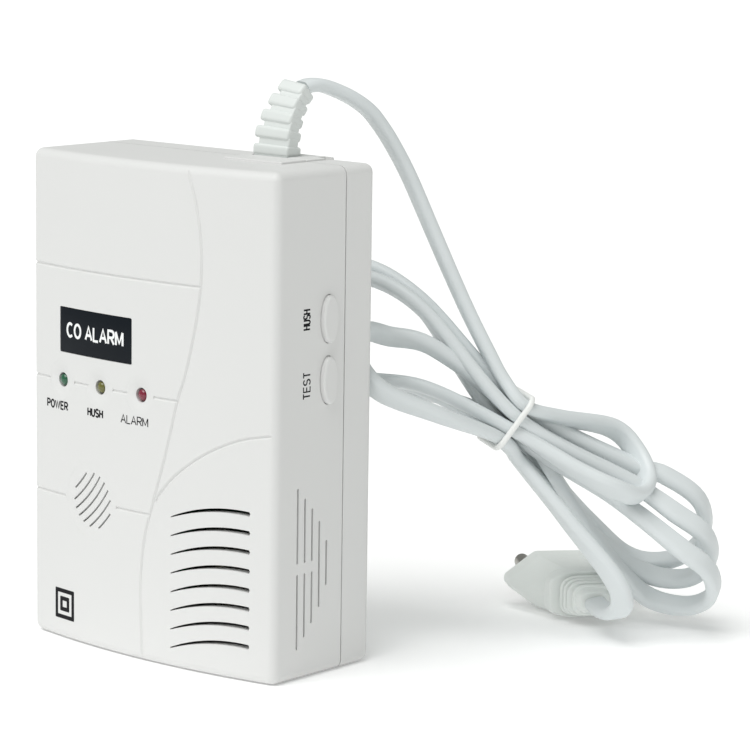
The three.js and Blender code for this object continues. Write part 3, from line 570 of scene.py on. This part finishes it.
def smoothed(name, bm, *materials, sharp=32):
    """A finished piece whose large flat faces stay flat where they meet round ones."""
    piece = finished(name, bm, *materials, sharp=sharp)
    even = piece.modifiers.new("even", "WEIGHTED_NORMAL")
    even.keep_sharp = True
    even.weight = 100
    return piece


# ABS from a spark-eroded mould: off-white, matt, with a grain of about 0.3 mm that only just shows.
case_abs = grained("moulded ABS", "DEDEDD", 0.52, 0.45, 0.006, spread=0.05, tint=0.01)

half_gap = SEAM_GAP / 2
front = block((-WIDTH / 2, FRONT_Y, 0), (WIDTH / 2, REAR_Y, HEIGHT), EDGE_RADIUS, 6)
seam_cut = block((-60, SEAM_Y - half_gap, -10), (60, 40, 130))
hollow = block((-WIDTH / 2 + WALL, FRONT_Y + WALL, WALL), (WIDTH / 2 - WALL, 30, HEIGHT - WALL))
front_landing = block((LANDING_LEFT, LANDING_FRONT, HEIGHT - 1),
                      (LANDING_RIGHT, SEAM_Y - half_gap, LANDING_TOP),
                      0.3, 3, lambda e: all(v.co.z > HEIGHT for v in e.verts) or
                      (abs(e.verts[0].co.z - e.verts[1].co.z) > 1 and e.verts[0].co.y < 0))
front = carved(front, [seam_cut, hollow])
front = carved(front, [front_landing], "UNION")
front = carved(front, [dish(x, LAMP_ROW_Z, LAMP_DISH, LAMP_DISH_DEPTH) for x in LAMP_X.values()]
               + [dish(GRILLE_X, GRILLE_Z, 9.4, 0.3)])
front = carved(front, [
    edge_groove(90.5, 18.6), edge_groove(LAMP_ROW_Z, -32.1), edge_groove(35.5, -26.2),
    face_groove([(-7.7, 35.5), (3.7, 35.5)], False),
    face_groove([(-22.9, LAMP_ROW_Z), (-17.6, LAMP_ROW_Z)], False),
    face_groove([(-8.9, LAMP_ROW_Z), (-3.9, LAMP_ROW_Z)], False),
    face_groove([(4.6, LAMP_ROW_Z), (12.1, LAMP_ROW_Z)], False),
    face_groove(LONG_CURVE), face_groove(ARC),
])
front = carved(front, [
    *[vent(i) for i in range(VENT_COUNT)],
    *[grille_slot(i) for i in range(7)],
    *[rod((x, 0, LAMP_ROW_Z), "Y", LAMP_HOLE, FRONT_Y - 2, FRONT_Y + 5) for x in LAMP_X.values()],
    prism(rounded_outline(LABEL_X, LABEL_Z, LABEL_WIDTH + 0.16, LABEL_HEIGHT + 0.16, 0.4),
          "Y", FRONT_Y - 1, FRONT_Y + 0.35),
    *[prism(slot_outline(y, low, high, SIDE_SLOT_WIDTH), "X", WIDTH / 2 - 5, WIDTH / 2 + 1)
      for y, low, high in SIDE_SLOTS],
    *[prism(oval_outline(BUTTON_Y, z, BUTTON_WIDE + BUTTON_PLAY, BUTTON_TALL + BUTTON_PLAY),
            "X", WIDTH / 2 - 5, WIDTH / 2 + 1)
      for z in BUTTON_Z.values()],
    relief_opening(),
])
front_piece = smoothed("front_cover_shell", crowned(front), case_abs)
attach(front_piece, "case")
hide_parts("front_cover")

# ---------------------------------------------------------------- Rear cover
# The shallow half of the case, of the same ABS, held by four screws sunk in its corners. Two
# keyholes let it hang on wall screws.
KEYHOLES = [(0, 92), (0, 32)]
CASE_SCREWS = [(-34.2, 6.3), (34.2, 6.3), (-34.2, 111.7), (34.2, 111.7)]

rear = block((-WIDTH / 2, FRONT_Y, 0), (WIDTH / 2, REAR_Y, HEIGHT), EDGE_RADIUS, 6)
rear = carved(rear, [
    block((-60, -40, -10), (60, SEAM_Y + half_gap, 130)),
    block((-WIDTH / 2 + WALL, -30, WALL), (WIDTH / 2 - WALL, REAR_Y - WALL, HEIGHT - WALL)),
])
rear_landing = block((LANDING_LEFT, SEAM_Y + half_gap, HEIGHT - 1),
                     (LANDING_RIGHT, LANDING_REAR, LANDING_TOP),
                     0.3, 3, lambda e: all(v.co.z > HEIGHT for v in e.verts))
screw_bosses = [rod((x, 0, z), "Y", 3.4, SEAM_Y + half_gap, REAR_Y - 1) for x, z in CASE_SCREWS]
rear = carved(rear, [rear_landing, *screw_bosses], "UNION")
rear = carved(rear, [
    *[rod((x, 0, z), "Y", 4.2, REAR_Y - 5, REAR_Y + 1) for x, z in KEYHOLES],
    *[prism(slot_outline(x, z - 2, z + 10, 4.4, 10), "Y", REAR_Y - 5, REAR_Y + 1) for x, z in KEYHOLES],
    *[rod((x, 0, z), "Y", 2.9, REAR_Y - 4, REAR_Y + 1) for x, z in CASE_SCREWS],
    *[rod((x, 0, z), "Y", 1.7, 0, REAR_Y + 1) for x, z in CASE_SCREWS],
    relief_opening(),
    block((LANDING_RIGHT - 2.2, 12.6, HEIGHT - 0.6), (LANDING_RIGHT + 0.6, 15.2, HEIGHT + 2)),
])
rear_piece = smoothed("rear_cover_shell", rear, case_abs)
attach(rear_piece, "case")
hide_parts("rear_cover")

# ---------------------------------------------------------------- Hank tie
# A coated wire tie, closed round the nine strands at the hank's waist. It is bent by hand, so
# it is a soft rectangle. White PVC over a steel core, 1.4 mm thick.
TIE_HALF_WIDE, TIE_HALF_TALL, TIE_RADIUS, TIE_CORNER = 9.9, 7.3, 0.7, 2.6

tie_loop = rounded_outline(0, 0, 2 * TIE_HALF_WIDE, 2 * TIE_HALF_TALL, TIE_CORNER, 8)
tie_wide = TIE_WIDE.normalized()
tie_tall = (TIE_TALL - tie_wide * TIE_TALL.dot(tie_wide)).normalized()
tie_ahead = tie_wide.cross(tie_tall)
tie_bm = bmesh.new()
tie_rings = []
for i, (u, v) in enumerate(tie_loop):
    before, after = tie_loop[i - 1], tie_loop[(i + 1) % len(tie_loop)]
    way = Vector((after[0] - before[0], after[1] - before[1])).normalized()
    out_way = tie_wide * way.y - tie_tall * way.x
    middle = TIE_MIDDLE - 3 * TIE_WIDE + tie_wide * u + tie_tall * v
    angles = [2 * math.pi * k / 14 for k in range(14)]
    spokes = [out_way * math.cos(a) + tie_ahead * math.sin(a) for a in angles]
    tie_rings.append([tie_bm.verts.new(middle + spoke * TIE_RADIUS) for spoke in spokes])
for i, ring in enumerate(tie_rings):
    following = tie_rings[(i + 1) % len(tie_rings)]
    for k in range(14):
        tie_bm.faces.new((ring[k], ring[(k + 1) % 14], following[(k + 1) % 14], following[k]))
tie_white = grained("white tie coating", "F0F1EF", 0.38, 1.5, 0.004)
tie_piece = finished("hank_tie", tie_bm, tie_white)
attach(tie_piece, "case")
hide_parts("cord_tie")

# ---------------------------------------------------------------- Label
# A thin plate of printed polyester film, glossy and near black, let into a recess so that it
# lies flush. Its two plain words say what the object is.
FRONT_SIDE = Matrix(((1, 0, 0), (0, 0, -1), (0, 1, 0))).to_4x4()
RIGHT_SIDE = Matrix(((0, 0, 1), (0, -1, 0), (1, 0, 0))).to_4x4()
PRINT_THICK = 0.03


def arc_points(u, v, wide, tall, start, end, count=8):
    """Points on an oval arc, angles in degrees."""
    angles = [math.radians(start + (end - start) * i / count) for i in range(count + 1)]
    return [(u + wide * math.cos(a), v + tall * math.sin(a)) for a in angles]


BOWL = [(0, 0), (0, 1), (0.55, 1)] + arc_points(0.6, 0.74, 0.4, 0.26, 90, -90)[1:] + [(0, 0.48)]
S_TOP = arc_points(0.5, 0.74, 0.46, 0.26, 25, 270)
LETTERS = {
    "A": (0.95, [[(0, 0), (0.5, 1), (1, 0)], [(0.2, 0.34), (0.8, 0.34)]]),
    "C": (0.9, [arc_points(0.52, 0.5, 0.52, 0.5, 48, 312, 18)]),
    "E": (0.75, [[(1, 1), (0, 1), (0, 0), (1, 0)], [(0, 0.52), (0.9, 0.52)]]),
    "H": (0.8, [[(0, 0), (0, 1)], [(1, 0), (1, 1)], [(0, 0.52), (1, 0.52)]]),
    "L": (0.68, [[(0, 1), (0, 0), (1, 0)]]),
    "M": (0.98, [[(0, 0), (0, 1)], [(0, 1), (0.5, 0.16), (1, 1)], [(1, 1), (1, 0)]]),
    "O": (0.95, [arc_points(0.5, 0.5, 0.5, 0.5, 0, 361, 24)]),
    "P": (0.8, [BOWL]),
    "R": (0.84, [BOWL, [(0.5, 0.48), (1, 0)]]),
    "S": (0.82, [S_TOP + arc_points(0.5, 0.25, 0.48, 0.25, 90, -155)[1:]]),
    "T": (0.8, [[(0, 1), (1, 1)], [(0.5, 0), (0.5, 1)]]),
    "U": (0.8, [[(0, 1), (0, 0.36)] + arc_points(0.5, 0.34, 0.5, 0.34, 180, 360)[1:] + [(1, 1)]]),
    "W": (1.3, [[(0, 1), (0.26, 0), (0.5, 0.97), (0.74, 0), (1, 1)]]),
    " ": (0.22, []),
}


def stroke(bm, points, line):
    """A flat ribbon of the line width along points, mitred at its bends."""
    points = [Vector(p) for p in points]
    edges = []
    for i, place in enumerate(points):
        last = i == len(points) - 1
        ahead = place - points[i - 1] if last else points[i + 1] - place
        behind = (place - points[i - 1]) if i else ahead
        ahead = ahead if ahead.length > 1e-6 else behind
        one, two = behind.normalized(), ahead.normalized()
        mid = (one + two).normalized() if (one + two).length > 0.2 else one
        reach = min(1 / max(mid.dot(one), 0.3), 1.2) * line / 2
        out = Vector((-mid.y, mid.x)) * reach
        edges.append([bm.verts.new((*(place + way * out), 0)) for way in (1, -1)])
    for near, far in zip(edges, edges[1:]):
        bm.faces.new((near[0], near[1], far[1], far[0]))


def printed(words, low, high, side, lift, line):
    """Letters of one line width that fill the box low..high (across, up) of a side."""
    bm = bmesh.new()
    tall = high[1] - low[1] - line
    gap = 0.1 + line / tall
    units = sum(LETTERS[c][0] for c in words) + gap * (len(words) - 1)
    scale = (high[0] - low[0] - line) / units
    along = low[0] + line / 2
    for character in words:
        wide, strokes = LETTERS[character]
        for points in strokes:
            placed = [(along + u * wide * scale, low[1] + line / 2 + v * tall) for u, v in points]
            stroke(bm, placed, line)
        along += (wide + gap) * scale
    grown = bmesh.ops.extrude_face_region(bm, geom=list(bm.faces))
    for v in [v for v in grown["geom"] if isinstance(v, bmesh.types.BMVert)]:
        v.co.z = PRINT_THICK
    bmesh.ops.recalc_face_normals(bm, faces=bm.faces)
    bmesh.ops.transform(bm, matrix=Matrix.Translation(lift) @ side, verts=bm.verts)
    return bm


def joined(parts):
    """Several bmeshes as one."""
    whole = bmesh.new()
    for part in parts:
        mesh = bpy.data.meshes.new("part")
        part.to_mesh(mesh)
        part.free()
        whole.from_mesh(mesh)
        bpy.data.meshes.remove(mesh)
    return whole


# Printed film: near black with a blue cast and hardly any shine.
label_ink, _, _ = new_material("label film", "14191F", 0.35, **{"Specular IOR Level": 0.08})
label_plate = prism(rounded_outline(LABEL_X, LABEL_Z, LABEL_WIDTH - 0.04, LABEL_HEIGHT - 0.04, 0.2),
                    "Y", FRONT_Y + 0.06, FRONT_Y + 0.3)
rounded(label_plate, label_plate.edges[:], 0.05, 2)
label_piece = finished("label_film_plate", crowned(label_plate), label_ink, sharp=30)
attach(label_piece, "case")
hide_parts("label_plate")

# Screen ink: opaque white, so that the words stay bright on the film.
white_ink, _, _ = new_material("white printing ink", "F4F5F5", 0.4)
label_words = printed("CO ALARM", (-25.9, 73.95), (-5.2, 77.7), FRONT_SIDE,
                      (0, FRONT_Y + 0.065, 0), 0.64)
label_text = finished("label_words", crowned(label_words), white_ink, sharp=20, doubles=False)
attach(label_text, "case")

# ---------------------------------------------------------------- Lamps
# Three 3 mm lamps of tinted clear epoxy: power green, hush amber, alarm red. Their domes stand
# low in the dishes of the face, unlit.
LAMP_COLOURS = {"led_power": "1F6E4A", "led_hush": "7D7B35", "led_alarm": "96203F"}
LAMP_RADIUS, LAMP_TIP = 1.45, FRONT_Y + 0.3


def lamp_material(name, colour):
    """Tinted epoxy: clear enough to glow at its rim, deep in its middle, glossy."""
    return new_material(name, colour, 0.12, **{
        "Transmission Weight": 0.35, "IOR": 1.5, "Coat Weight": 0.5, "Coat Roughness": 0.05,
    })[0]


for name, x in LAMP_X.items():
    turns = [math.pi / 2 * i / 10 for i in range(11)]
    dome = [(LAMP_RADIUS * math.sin(a), LAMP_TIP + LAMP_RADIUS * 0.8 * (1 - math.cos(a)))
            for a in turns]
    profile = dome + [(LAMP_RADIUS, -14.2), (1.9, -14.2), (1.9, -13.5), (0, -13.5)]
    lens_bm = turned(profile, (x, -crown_at(x), LAMP_ROW_Z))
    lamp = finished(name + "_lens", lens_bm, lamp_material(name + " epoxy", LAMP_COLOURS[name]))
    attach(lamp, "case")
    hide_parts(name)

# ---------------------------------------------------------------- Printed legends
# Pad-printed black ink on the case: a word under each lamp, one beside each button, and a
# plain square-in-square sign low on the face.
black_ink, _, _ = new_material("black printing ink", "16161A", 0.6, **{"Specular IOR Level": 0.15})
face_words = [("POWER", -33.8, -25.3, 56.1, 58.3, 0.42), ("HUSH", -17.9, -12.2, 56.1, 58.3, 0.42),
              ("ALARM", -6.1, 3.0, 56.1, 58.3, 0.27)]
legend_parts = [printed(word, (x0, z0), (x1, z1), FRONT_SIDE, (0, FRONT_Y - 0.005, 0), weight)
                for word, x0, x1, z0, z1, weight in face_words]
legends = finished("face_legends", crowned(joined(legend_parts)), black_ink, sharp=20, doubles=False)
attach(legends, "case")

side_words = [("HUSH", 81.5, 86.4, 5.3, 7.9, 0.42), ("TEST", 65.5, 72.0, 5.1, 7.7, 0.36)]
side_parts = [printed(word, (z0, y0), (z1, y1), RIGHT_SIDE, (WIDTH / 2 - 0.02, 0, 0), weight)
              for word, z0, z1, y0, y1, weight in side_words]
side_legends = finished("side_legends", joined(side_parts), black_ink, sharp=20, doubles=False)
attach(side_legends, "case")

SIGN_X, SIGN_Z, SIGN_SIZE, SIGN_LINE = -26.8, 8.7, 7.4, 1.0
sign_parts = []
for size in (SIGN_SIZE, SIGN_SIZE - 3.8):
    outer = prism(rounded_outline(SIGN_X, SIGN_Z, size, size, 0.25), "Y", FRONT_Y - 0.025, FRONT_Y + 0.005)
    clear = size - 2 * SIGN_LINE
    inner = prism(rounded_outline(SIGN_X, SIGN_Z, clear, clear, 0.1), "Y", FRONT_Y - 1, FRONT_Y + 1)
    sign_parts.append(carved(outer, [inner]))
sign = finished("insulation_sign", crowned(joined(sign_parts)), black_ink, sharp=20, doubles=False)
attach(sign, "case")

# ---------------------------------------------------------------- Buttons
# Two oval caps of the case's ABS, slightly domed, that slide in through the right side. A
# flange behind the wall keeps each one in.
BUTTON_RIM, FLANGE_REACH = 0.55, 2.4

for name, z in BUTTON_Z.items():
    side = WIDTH / 2
    cap = prism(oval_outline(BUTTON_Y, z, BUTTON_WIDE, BUTTON_TALL), "X", side - 3.6, side + BUTTON_PROUD)
    rim = [e for e in cap.edges if all(v.co.x > side for v in e.verts)]
    rounded(cap, rim, BUTTON_RIM, 5)
    flange = prism(oval_outline(BUTTON_Y, z, BUTTON_WIDE + FLANGE_REACH, BUTTON_TALL + FLANGE_REACH),
                   "X", side - WALL - 1.5, side - WALL - 0.3)
    button = smoothed(name + "_cap", carved(cap, [flange], "UNION"), case_abs)
    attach(button, name)
    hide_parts(name)

# ---------------------------------------------------------------- Strain relief
# Soft white PVC moulded on the lead: a foot clamped in the seam of the case, then five blocks on
# a leaner core with a spine along the right side. It bends back over the rear edge.
RELIEF_BEND, RELIEF_TURN, RELIEF_HEADING = 21.0, 47.0, 80.0
RELIEF_LENGTH = math.radians(RELIEF_TURN) * RELIEF_BEND


def bent(bm):
    """Bends an upright piece at the origin along the relief's axis."""
    heading = math.radians(RELIEF_HEADING)
    flat = Vector((math.cos(heading), math.sin(heading), 0))
    up = Vector((0, 0, 1))
    sideways = up.cross(flat)
    for v in bm.verts:
        angle = v.co.z / RELIEF_BEND
        middle = Vector((RELIEF_X, RELIEF_Y, LANDING_TOP))
        middle += flat * RELIEF_BEND * (1 - math.cos(angle)) + up * RELIEF_BEND * math.sin(angle)
        way = Matrix.Rotation(angle, 3, sideways)
        v.co = middle + way @ Vector((v.co.x, v.co.y, 0))
    return bm


def relief_rib(start, end, half, thick):
    """One block of the relief, its corners rounded; it stands further out on the left."""
    return block((-half - 1.1, -thick, start), (half, thick, end), 0.75, 4)


def rib_half(along):
    """Half a block's width: the relief tapers towards the lead."""
    return 5.45 - 2.3 * along / RELIEF_LENGTH


relief = block((-5.8, -2.5, -0.1), (5.2, 2.5, 2.3), 0.6, 4)
starts = [3.5, 7.1, 10.7, 14.3]
ends = [6.1, 9.7, 13.5, RELIEF_LENGTH]
blocks = [relief_rib(start, end, rib_half((start + end) / 2), 2.5) for start, end in zip(starts, ends)]
blocks += [block((-rib_half(low) + 0.7, -2.0, low), (rib_half(low) - 0.25, 1.5, low + 2.6), 0.4, 3)
           for low in (1.6, 5.4, 9.0, 12.6)]
relief = carved(relief, blocks, "UNION")
for z in [0.5 * k for k in range(1, 35)]:
    whole = relief.verts[:] + relief.edges[:] + relief.faces[:]
    bmesh.ops.bisect_plane(relief, geom=whole, plane_co=(0, 0, z), plane_no=(0, 0, 1))
relief = bent(relief)
foot = block((RELIEF_X - 5.2, RELIEF_Y - 2.5, HEIGHT - 5),
             (RELIEF_X + 5.2, RELIEF_Y + 2.5, LANDING_TOP + 0.1))
collar = block((RELIEF_X - 7, RELIEF_Y - 2.5, HEIGHT - 5.4),
               (RELIEF_X + 7, RELIEF_Y + 3.8, HEIGHT - 2.7), 0.3, 2)
relief = carved(relief, [foot, collar], "UNION")
# Soft PVC: a satin skin with a shallow moulded grain.
relief_pvc = grained("moulded PVC", "DFE3E1", 0.45, 1.0, 0.006)
relief_piece = smoothed("relief_boot", relief, relief_pvc, sharp=35)
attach(relief_piece, "case")
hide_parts("strain_relief")

# ---------------------------------------------------------------- Plug
# A flat two-pin plug moulded in one with the lead's end, in PVC a little duller than the lead:
# a slant-sided head, a round-cornered collar, thin ribs that shrink, then a ring and a nose.
PLUG_X, PLUG_Y, PLUG_Z, PLUG_HEADING = 38.4, 97.0, 6.85, 138.7
PIN_PITCH = 19.0
plug_turn = Matrix.Rotation(math.radians(PLUG_HEADING), 4, "Z")
place_plug = Matrix.Translation((PLUG_X, PLUG_Y, PLUG_Z)) @ plug_turn
HEAD_OUTLINE = [(1, -0.14), (1, 0.14), (0.56, 1), (-0.56, 1),
                (-1, 0.14), (-1, -0.14), (-0.56, -1), (0.56, -1)]


def lengthwise(outline, stations):
    """Bridges scaled copies of an outline at each (place, half width, half height)."""
    bm = bmesh.new()
    loops = []
    for x, a, b in stations:
        verts = [bm.verts.new((x, u * a, v * b)) for u, v in outline]
        loops.append([bm.edges.new((verts[i - 1], verts[i])) for i in range(len(verts))])
    for near, far in zip(loops, loops[1:]):
        bmesh.ops.bridge_loops(bm, edges=near + far)
    bmesh.ops.edgeloop_fill(bm, edges=loops[0])
    bmesh.ops.edgeloop_fill(bm, edges=loops[-1])
    bmesh.ops.recalc_face_normals(bm, faces=bm.faces)
    return bm


soft_outline = rounded_outline(0, 0, 2, 2, 0.6, 8)
head = lengthwise(HEAD_OUTLINE, [(-17.3, 10.1, 6.0), (-6, 17.6, 6.8), (-0.05, 17.6, 6.8)])
rounded(head, head.edges[:], 0.8, 4)
plug_parts = [
    lengthwise(soft_outline, [(-20.35, 9.2, 5.6), (-19.9, 9.75, 5.9),
                              (-17.3, 10.4, 6.3), (-16.9, 10.0, 6.0)]),
    lengthwise(soft_outline, [(-29.15, 3.5, 2.5), (-28.6, 3.8, 2.8),
                              (-20, 6.6, 4.2), (-16, 6.6, 4.2)]),
]
for x, a, b in [(-22.4, 7.3, 5.1), (-23.9, 6.7, 4.8), (-25.4, 6.1, 4.5), (-27.0, 5.1, 3.9)]:
    plug_parts.append(lengthwise(soft_outline, [
        (x, a - 0.5, b - 0.4), (x + 0.2, a - 0.2, b - 0.15),
        (x + 0.8, a, b), (x + 1.0, a - 0.2, b - 0.15),
    ]))
plug = carved(head, plug_parts, "UNION")
ways = [rod((0, way * PIN_PITCH / 2, 0), "X", 2.2, -3.3, 1) for way in (-1, 1)]
ways += [rod((0, way * PIN_PITCH / 2, 0), "X", 1.5, -6.3, 0) for way in (-1, 1)]
mark = [prism(rounded_outline(-9.5, 0, 5.0, 9.5, 0.6), "Z", 6.68, 8)]
plug = carved(plug, ways + mark)
bmesh.ops.transform(plug, matrix=place_plug, verts=plug.verts)
# Plug PVC: the lead's white, with a coarser and duller mould grain.
plug_pvc = grained("plug PVC", "EEF2EF", 0.5, 1.2, 0.008)
plug_piece = smoothed("mains_plug", plug, plug_pvc, sharp=35)
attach(plug_piece, "case")
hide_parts("plug_body")

# ---------------------------------------------------------------- Pins
# Two 4 mm pins of nickel-plated brass with round tips, each in a black sleeve for its first half.
PIN_LENGTH, SLEEVE_END = 19.0, 10.0


def rounded_end(radius, base, rise):
    """A quarter oval of (radius, place) points from the rim to the axis."""
    turns = [math.pi / 2 * k / 6 for k in range(7)]
    return [(radius * math.cos(a), base + rise * math.sin(a)) for a in turns]


# Nickel: a grey mirror, slightly blurred.
pin_nickel, _, _ = new_material("nickel plate", "8F8C84", 0.3, Metallic=1.0)
sleeve_black = grained("sleeve plastic", "2A2C2E", 0.45, 1.0, 0.004)
pins, sleeves = [], []
for i, way in enumerate((-1, 1)):
    y = way * PIN_PITCH / 2
    tip = rounded_end(2.0, PIN_LENGTH - 2.0, 2.0)
    profile = [(0, -5.9), (1.2, -5.9), (1.2, SLEEVE_END + 0.35), (1.95, SLEEVE_END + 0.35)] + tip
    pin = turned(profile, (0, y, 0), "X")
    sleeve = turned([(1.5, -2.9), (1.85, -2.9), (1.9, 9.8), (1.8, SLEEVE_END - 0.02),
                     (1.5, SLEEVE_END - 0.02), (1.5, -2.9)], (0, y, 0), "X")
    for bm in (pin, sleeve):
        bmesh.ops.transform(bm, matrix=place_plug, verts=bm.verts)
    pins.append(finished(f"pin_{i + 1}", pin, pin_nickel))
    sleeves.append(finished(f"pin_sleeve_{i + 1}", sleeve, sleeve_black))
    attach(pins[i], "case")
    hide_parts(f"plug_pin_{i + 1}")
    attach(sleeves[i], "case")
    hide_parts(f"plug_sleeve_{i + 1}")

# ---------------------------------------------------------------- Case screws
# Four pan-head tapping screws of zinc-plated steel, sunk in the corners of the rear cover, with
# a cross drive.
# Zinc plate: pale grey metal with a soft sheen.
zinc, _, _ = new_material("zinc-plated steel", "B4B7BA", 0.32, Metallic=1.0)
for i, (x, z) in enumerate(CASE_SCREWS):
    crown = rounded_end(2.5, REAR_Y - 2.6, 1.0)
    profile = [(0, -6), (0.4, -6), (1.3, -4.5), (1.3, REAR_Y - 3.6), (2.5, REAR_Y - 3.6)] + crown
    screw_bm = turned(profile, (x, 0, z), "Y", 32)
    drive = [block((x - 1.4, REAR_Y - 2.7, z - 0.28), (x + 1.4, REAR_Y, z + 0.28)),
             block((x - 0.28, REAR_Y - 2.7, z - 1.4), (x + 0.28, REAR_Y, z + 1.4))]
    screw = smoothed(f"cover_screw_{i + 1}", carved(screw_bm, drive), zinc)
    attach(screw, "case")
    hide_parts(f"case_screw_{i + 1}")

# ---------------------------------------------------------------- Inner pieces
# The circuit board and the parts on it keep their solid shapes. Each gets its own surface:
# laminate, tape, foil sleeves, glass, plated steel and plain moulded plastics.
def assign(material, *nodes):
    """Gives carried-over solids their material."""
    for node in nodes:
        thing = bpy.data.objects[node]
        for slot in thing.material_slots:
            slot.material = material


def banded(name, colour, roughness, pitch, way, height, dark=0.75, **shader):
    """Bands of the pitch in mm across one axis: stacked sheets, or turns of wire or tape."""
    material, tree, principled = new_material(name, colour, roughness, **shader)
    place = add_node(tree, "ShaderNodeTexCoord")
    bands = add_node(tree, "ShaderNodeTexWave", {"bands_direction": way}, {
        "Vector": (place, "Object"), "Scale": 1000 * math.pi / (10 * pitch), "Distortion": 0.4, "Detail": 2.0,
    })
    base = linear(colour)
    low = tuple(c * dark for c in base[:3]) + (1.0,)
    blend = add_node(tree, "ShaderNodeMix", {"data_type": "RGBA"}, {0: (bands, "Fac"), 6: low, 7: base})
    bump = add_node(tree, "ShaderNodeBump", {}, {"Height": (bands, "Fac"), "Distance": height * MM})
    tree.links.new(blend.outputs[2], principled.inputs["Base Color"])
    tree.links.new(bump.outputs["Normal"], principled.inputs["Normal"])
    return material


def plated(name, colour, roughness, grain, scratch=0.08, metallic=1.0):
    """Plated or rolled metal: uneven gloss in fine streaks, with a slight cloudiness."""
    material, tree, principled = new_material(name, colour, roughness, Metallic=metallic)
    place = add_node(tree, "ShaderNodeTexCoord")
    streaks = add_node(tree, "ShaderNodeTexNoise", {}, {
        "Vector": (place, "Object"), "Scale": 1000 / grain, "Detail": 5.0, "Distortion": 0.6,
    })
    gloss = add_node(tree, "ShaderNodeMapRange", {}, {
        "Value": (streaks, "Fac"), "To Min": roughness - scratch, "To Max": roughness + scratch,
    })
    bump = add_node(tree, "ShaderNodeBump", {}, {"Height": (streaks, "Fac"), "Distance": 0.004 * MM})
    tree.links.new(gloss.outputs["Result"], principled.inputs["Roughness"])
    tree.links.new(bump.outputs["Normal"], principled.inputs["Normal"])
    return material


def laminate():
    """Glass laminate under green solder mask: tinned lands and the darker run of its tracks."""
    material, tree, principled = new_material("board laminate", "1D5B34", 0.3, **{"Coat Weight": 0.4})
    place = add_node(tree, "ShaderNodeTexCoord")
    cells = add_node(tree, "ShaderNodeTexVoronoi", {"distance": "CHEBYCHEV", "feature": "F1"}, {
        "Vector": (place, "Object"), "Scale": 210.0, "Randomness": 0.55,
    })
    tracks = add_node(tree, "ShaderNodeValToRGB", {}, {"Fac": (cells, "Distance")})
    tracks.color_ramp.interpolation = "CONSTANT"
    tracks.color_ramp.elements[0].color = linear("C9CBC4")
    tracks.color_ramp.elements[1].position = 0.14
    tracks.color_ramp.elements[1].color = linear("2A7343")
    field = tracks.color_ramp.elements.new(0.42)
    field.color = linear("1B5531")
    weave = add_node(tree, "ShaderNodeTexNoise", {}, {
        "Vector": (place, "Object"), "Scale": 2200.0, "Detail": 1.0,
    })
    bump = add_node(tree, "ShaderNodeBump", {}, {"Height": (weave, "Fac"), "Distance": 0.01 * MM})
    tree.links.new(tracks.outputs["Color"], principled.inputs["Base Color"])
    tree.links.new(bump.outputs["Normal"], principled.inputs["Normal"])
    return material


BOARD_SCREW_NODES = [f"board_screw_{i}" for i in (1, 2, 3, 4)]
# Nylon, natural: milky white, a little translucent.
nylon = grained("natural nylon", "ECEBE3", 0.5, 1.0, 0.01, **{"Subsurface Weight": 0.1})
assign(nylon, "led_power_spacer", "led_hush_spacer", "led_alarm_spacer")
assign(laminate(), "main_board")
assign(plated("zinc plate", "B7BABD", 0.34, 0.9), *BOARD_SCREW_NODES, "timing_crystal")
# Filled black plastics: fine matt mould grain.
black_case = grained("black moulding", "1D1E20", 0.5, 0.4, 0.012)
assign(black_case, "buzzer_body", "sensor_base", "hush_switch", "test_switch",
       "hush_plunger", "test_plunger")
# Epoxy of the chips: harder and smoother, almost black.
assign(grained("chip epoxy", "17181A", 0.38, 0.25, 0.006), "controller_chip", "amplifier_chip",
       "voltage_regulator")
assign(plated("drawn sensor can", "C6C2B6", 0.26, 0.7), "sensor_cell")
# Silicon steel sheets, 0.5 mm each, varnished brown at their edges.
assign(banded("stacked core steel", "6B655C", 0.45, 0.5, "Z", 0.05, Metallic=0.7), "transformer_core")
# Yellow polyester tape, wound over the coil, its turns overlapping.
assign(banded("coil tape", "D8A62B", 0.3, 3.0, "Z", 0.06, 0.9), "transformer_coil")
assign(grained("shrink sleeve", "1D3F7E", 0.28, 1.6, 0.01), "capacitor_main", "capacitor_small", "varistor")
assign(grained("capacitor lacquer", "C9A12A", 0.3, 1.2, 0.01), "film_capacitor")
# Fuse glass: clear, greenish at its edges.
assign(new_material("fuse glass", "E4EEE9", 0.06, **{"Transmission Weight": 0.8, "IOR": 1.5})[0], "fuse")
assign(plated("brass clip", "C59A4E", 0.3, 0.8), "fuse_clip_1", "fuse_clip_2")
assign(grained("terminal moulding", "2C7A4A", 0.42, 0.6, 0.012), "terminal_block")
assign(grained("brown core sheath", "5E3A23", 0.4, 0.8, 0.006), "wire_live")
assign(grained("blue core sheath", "2C5FA8", 0.4, 0.8, 0.006), "wire_neutral")
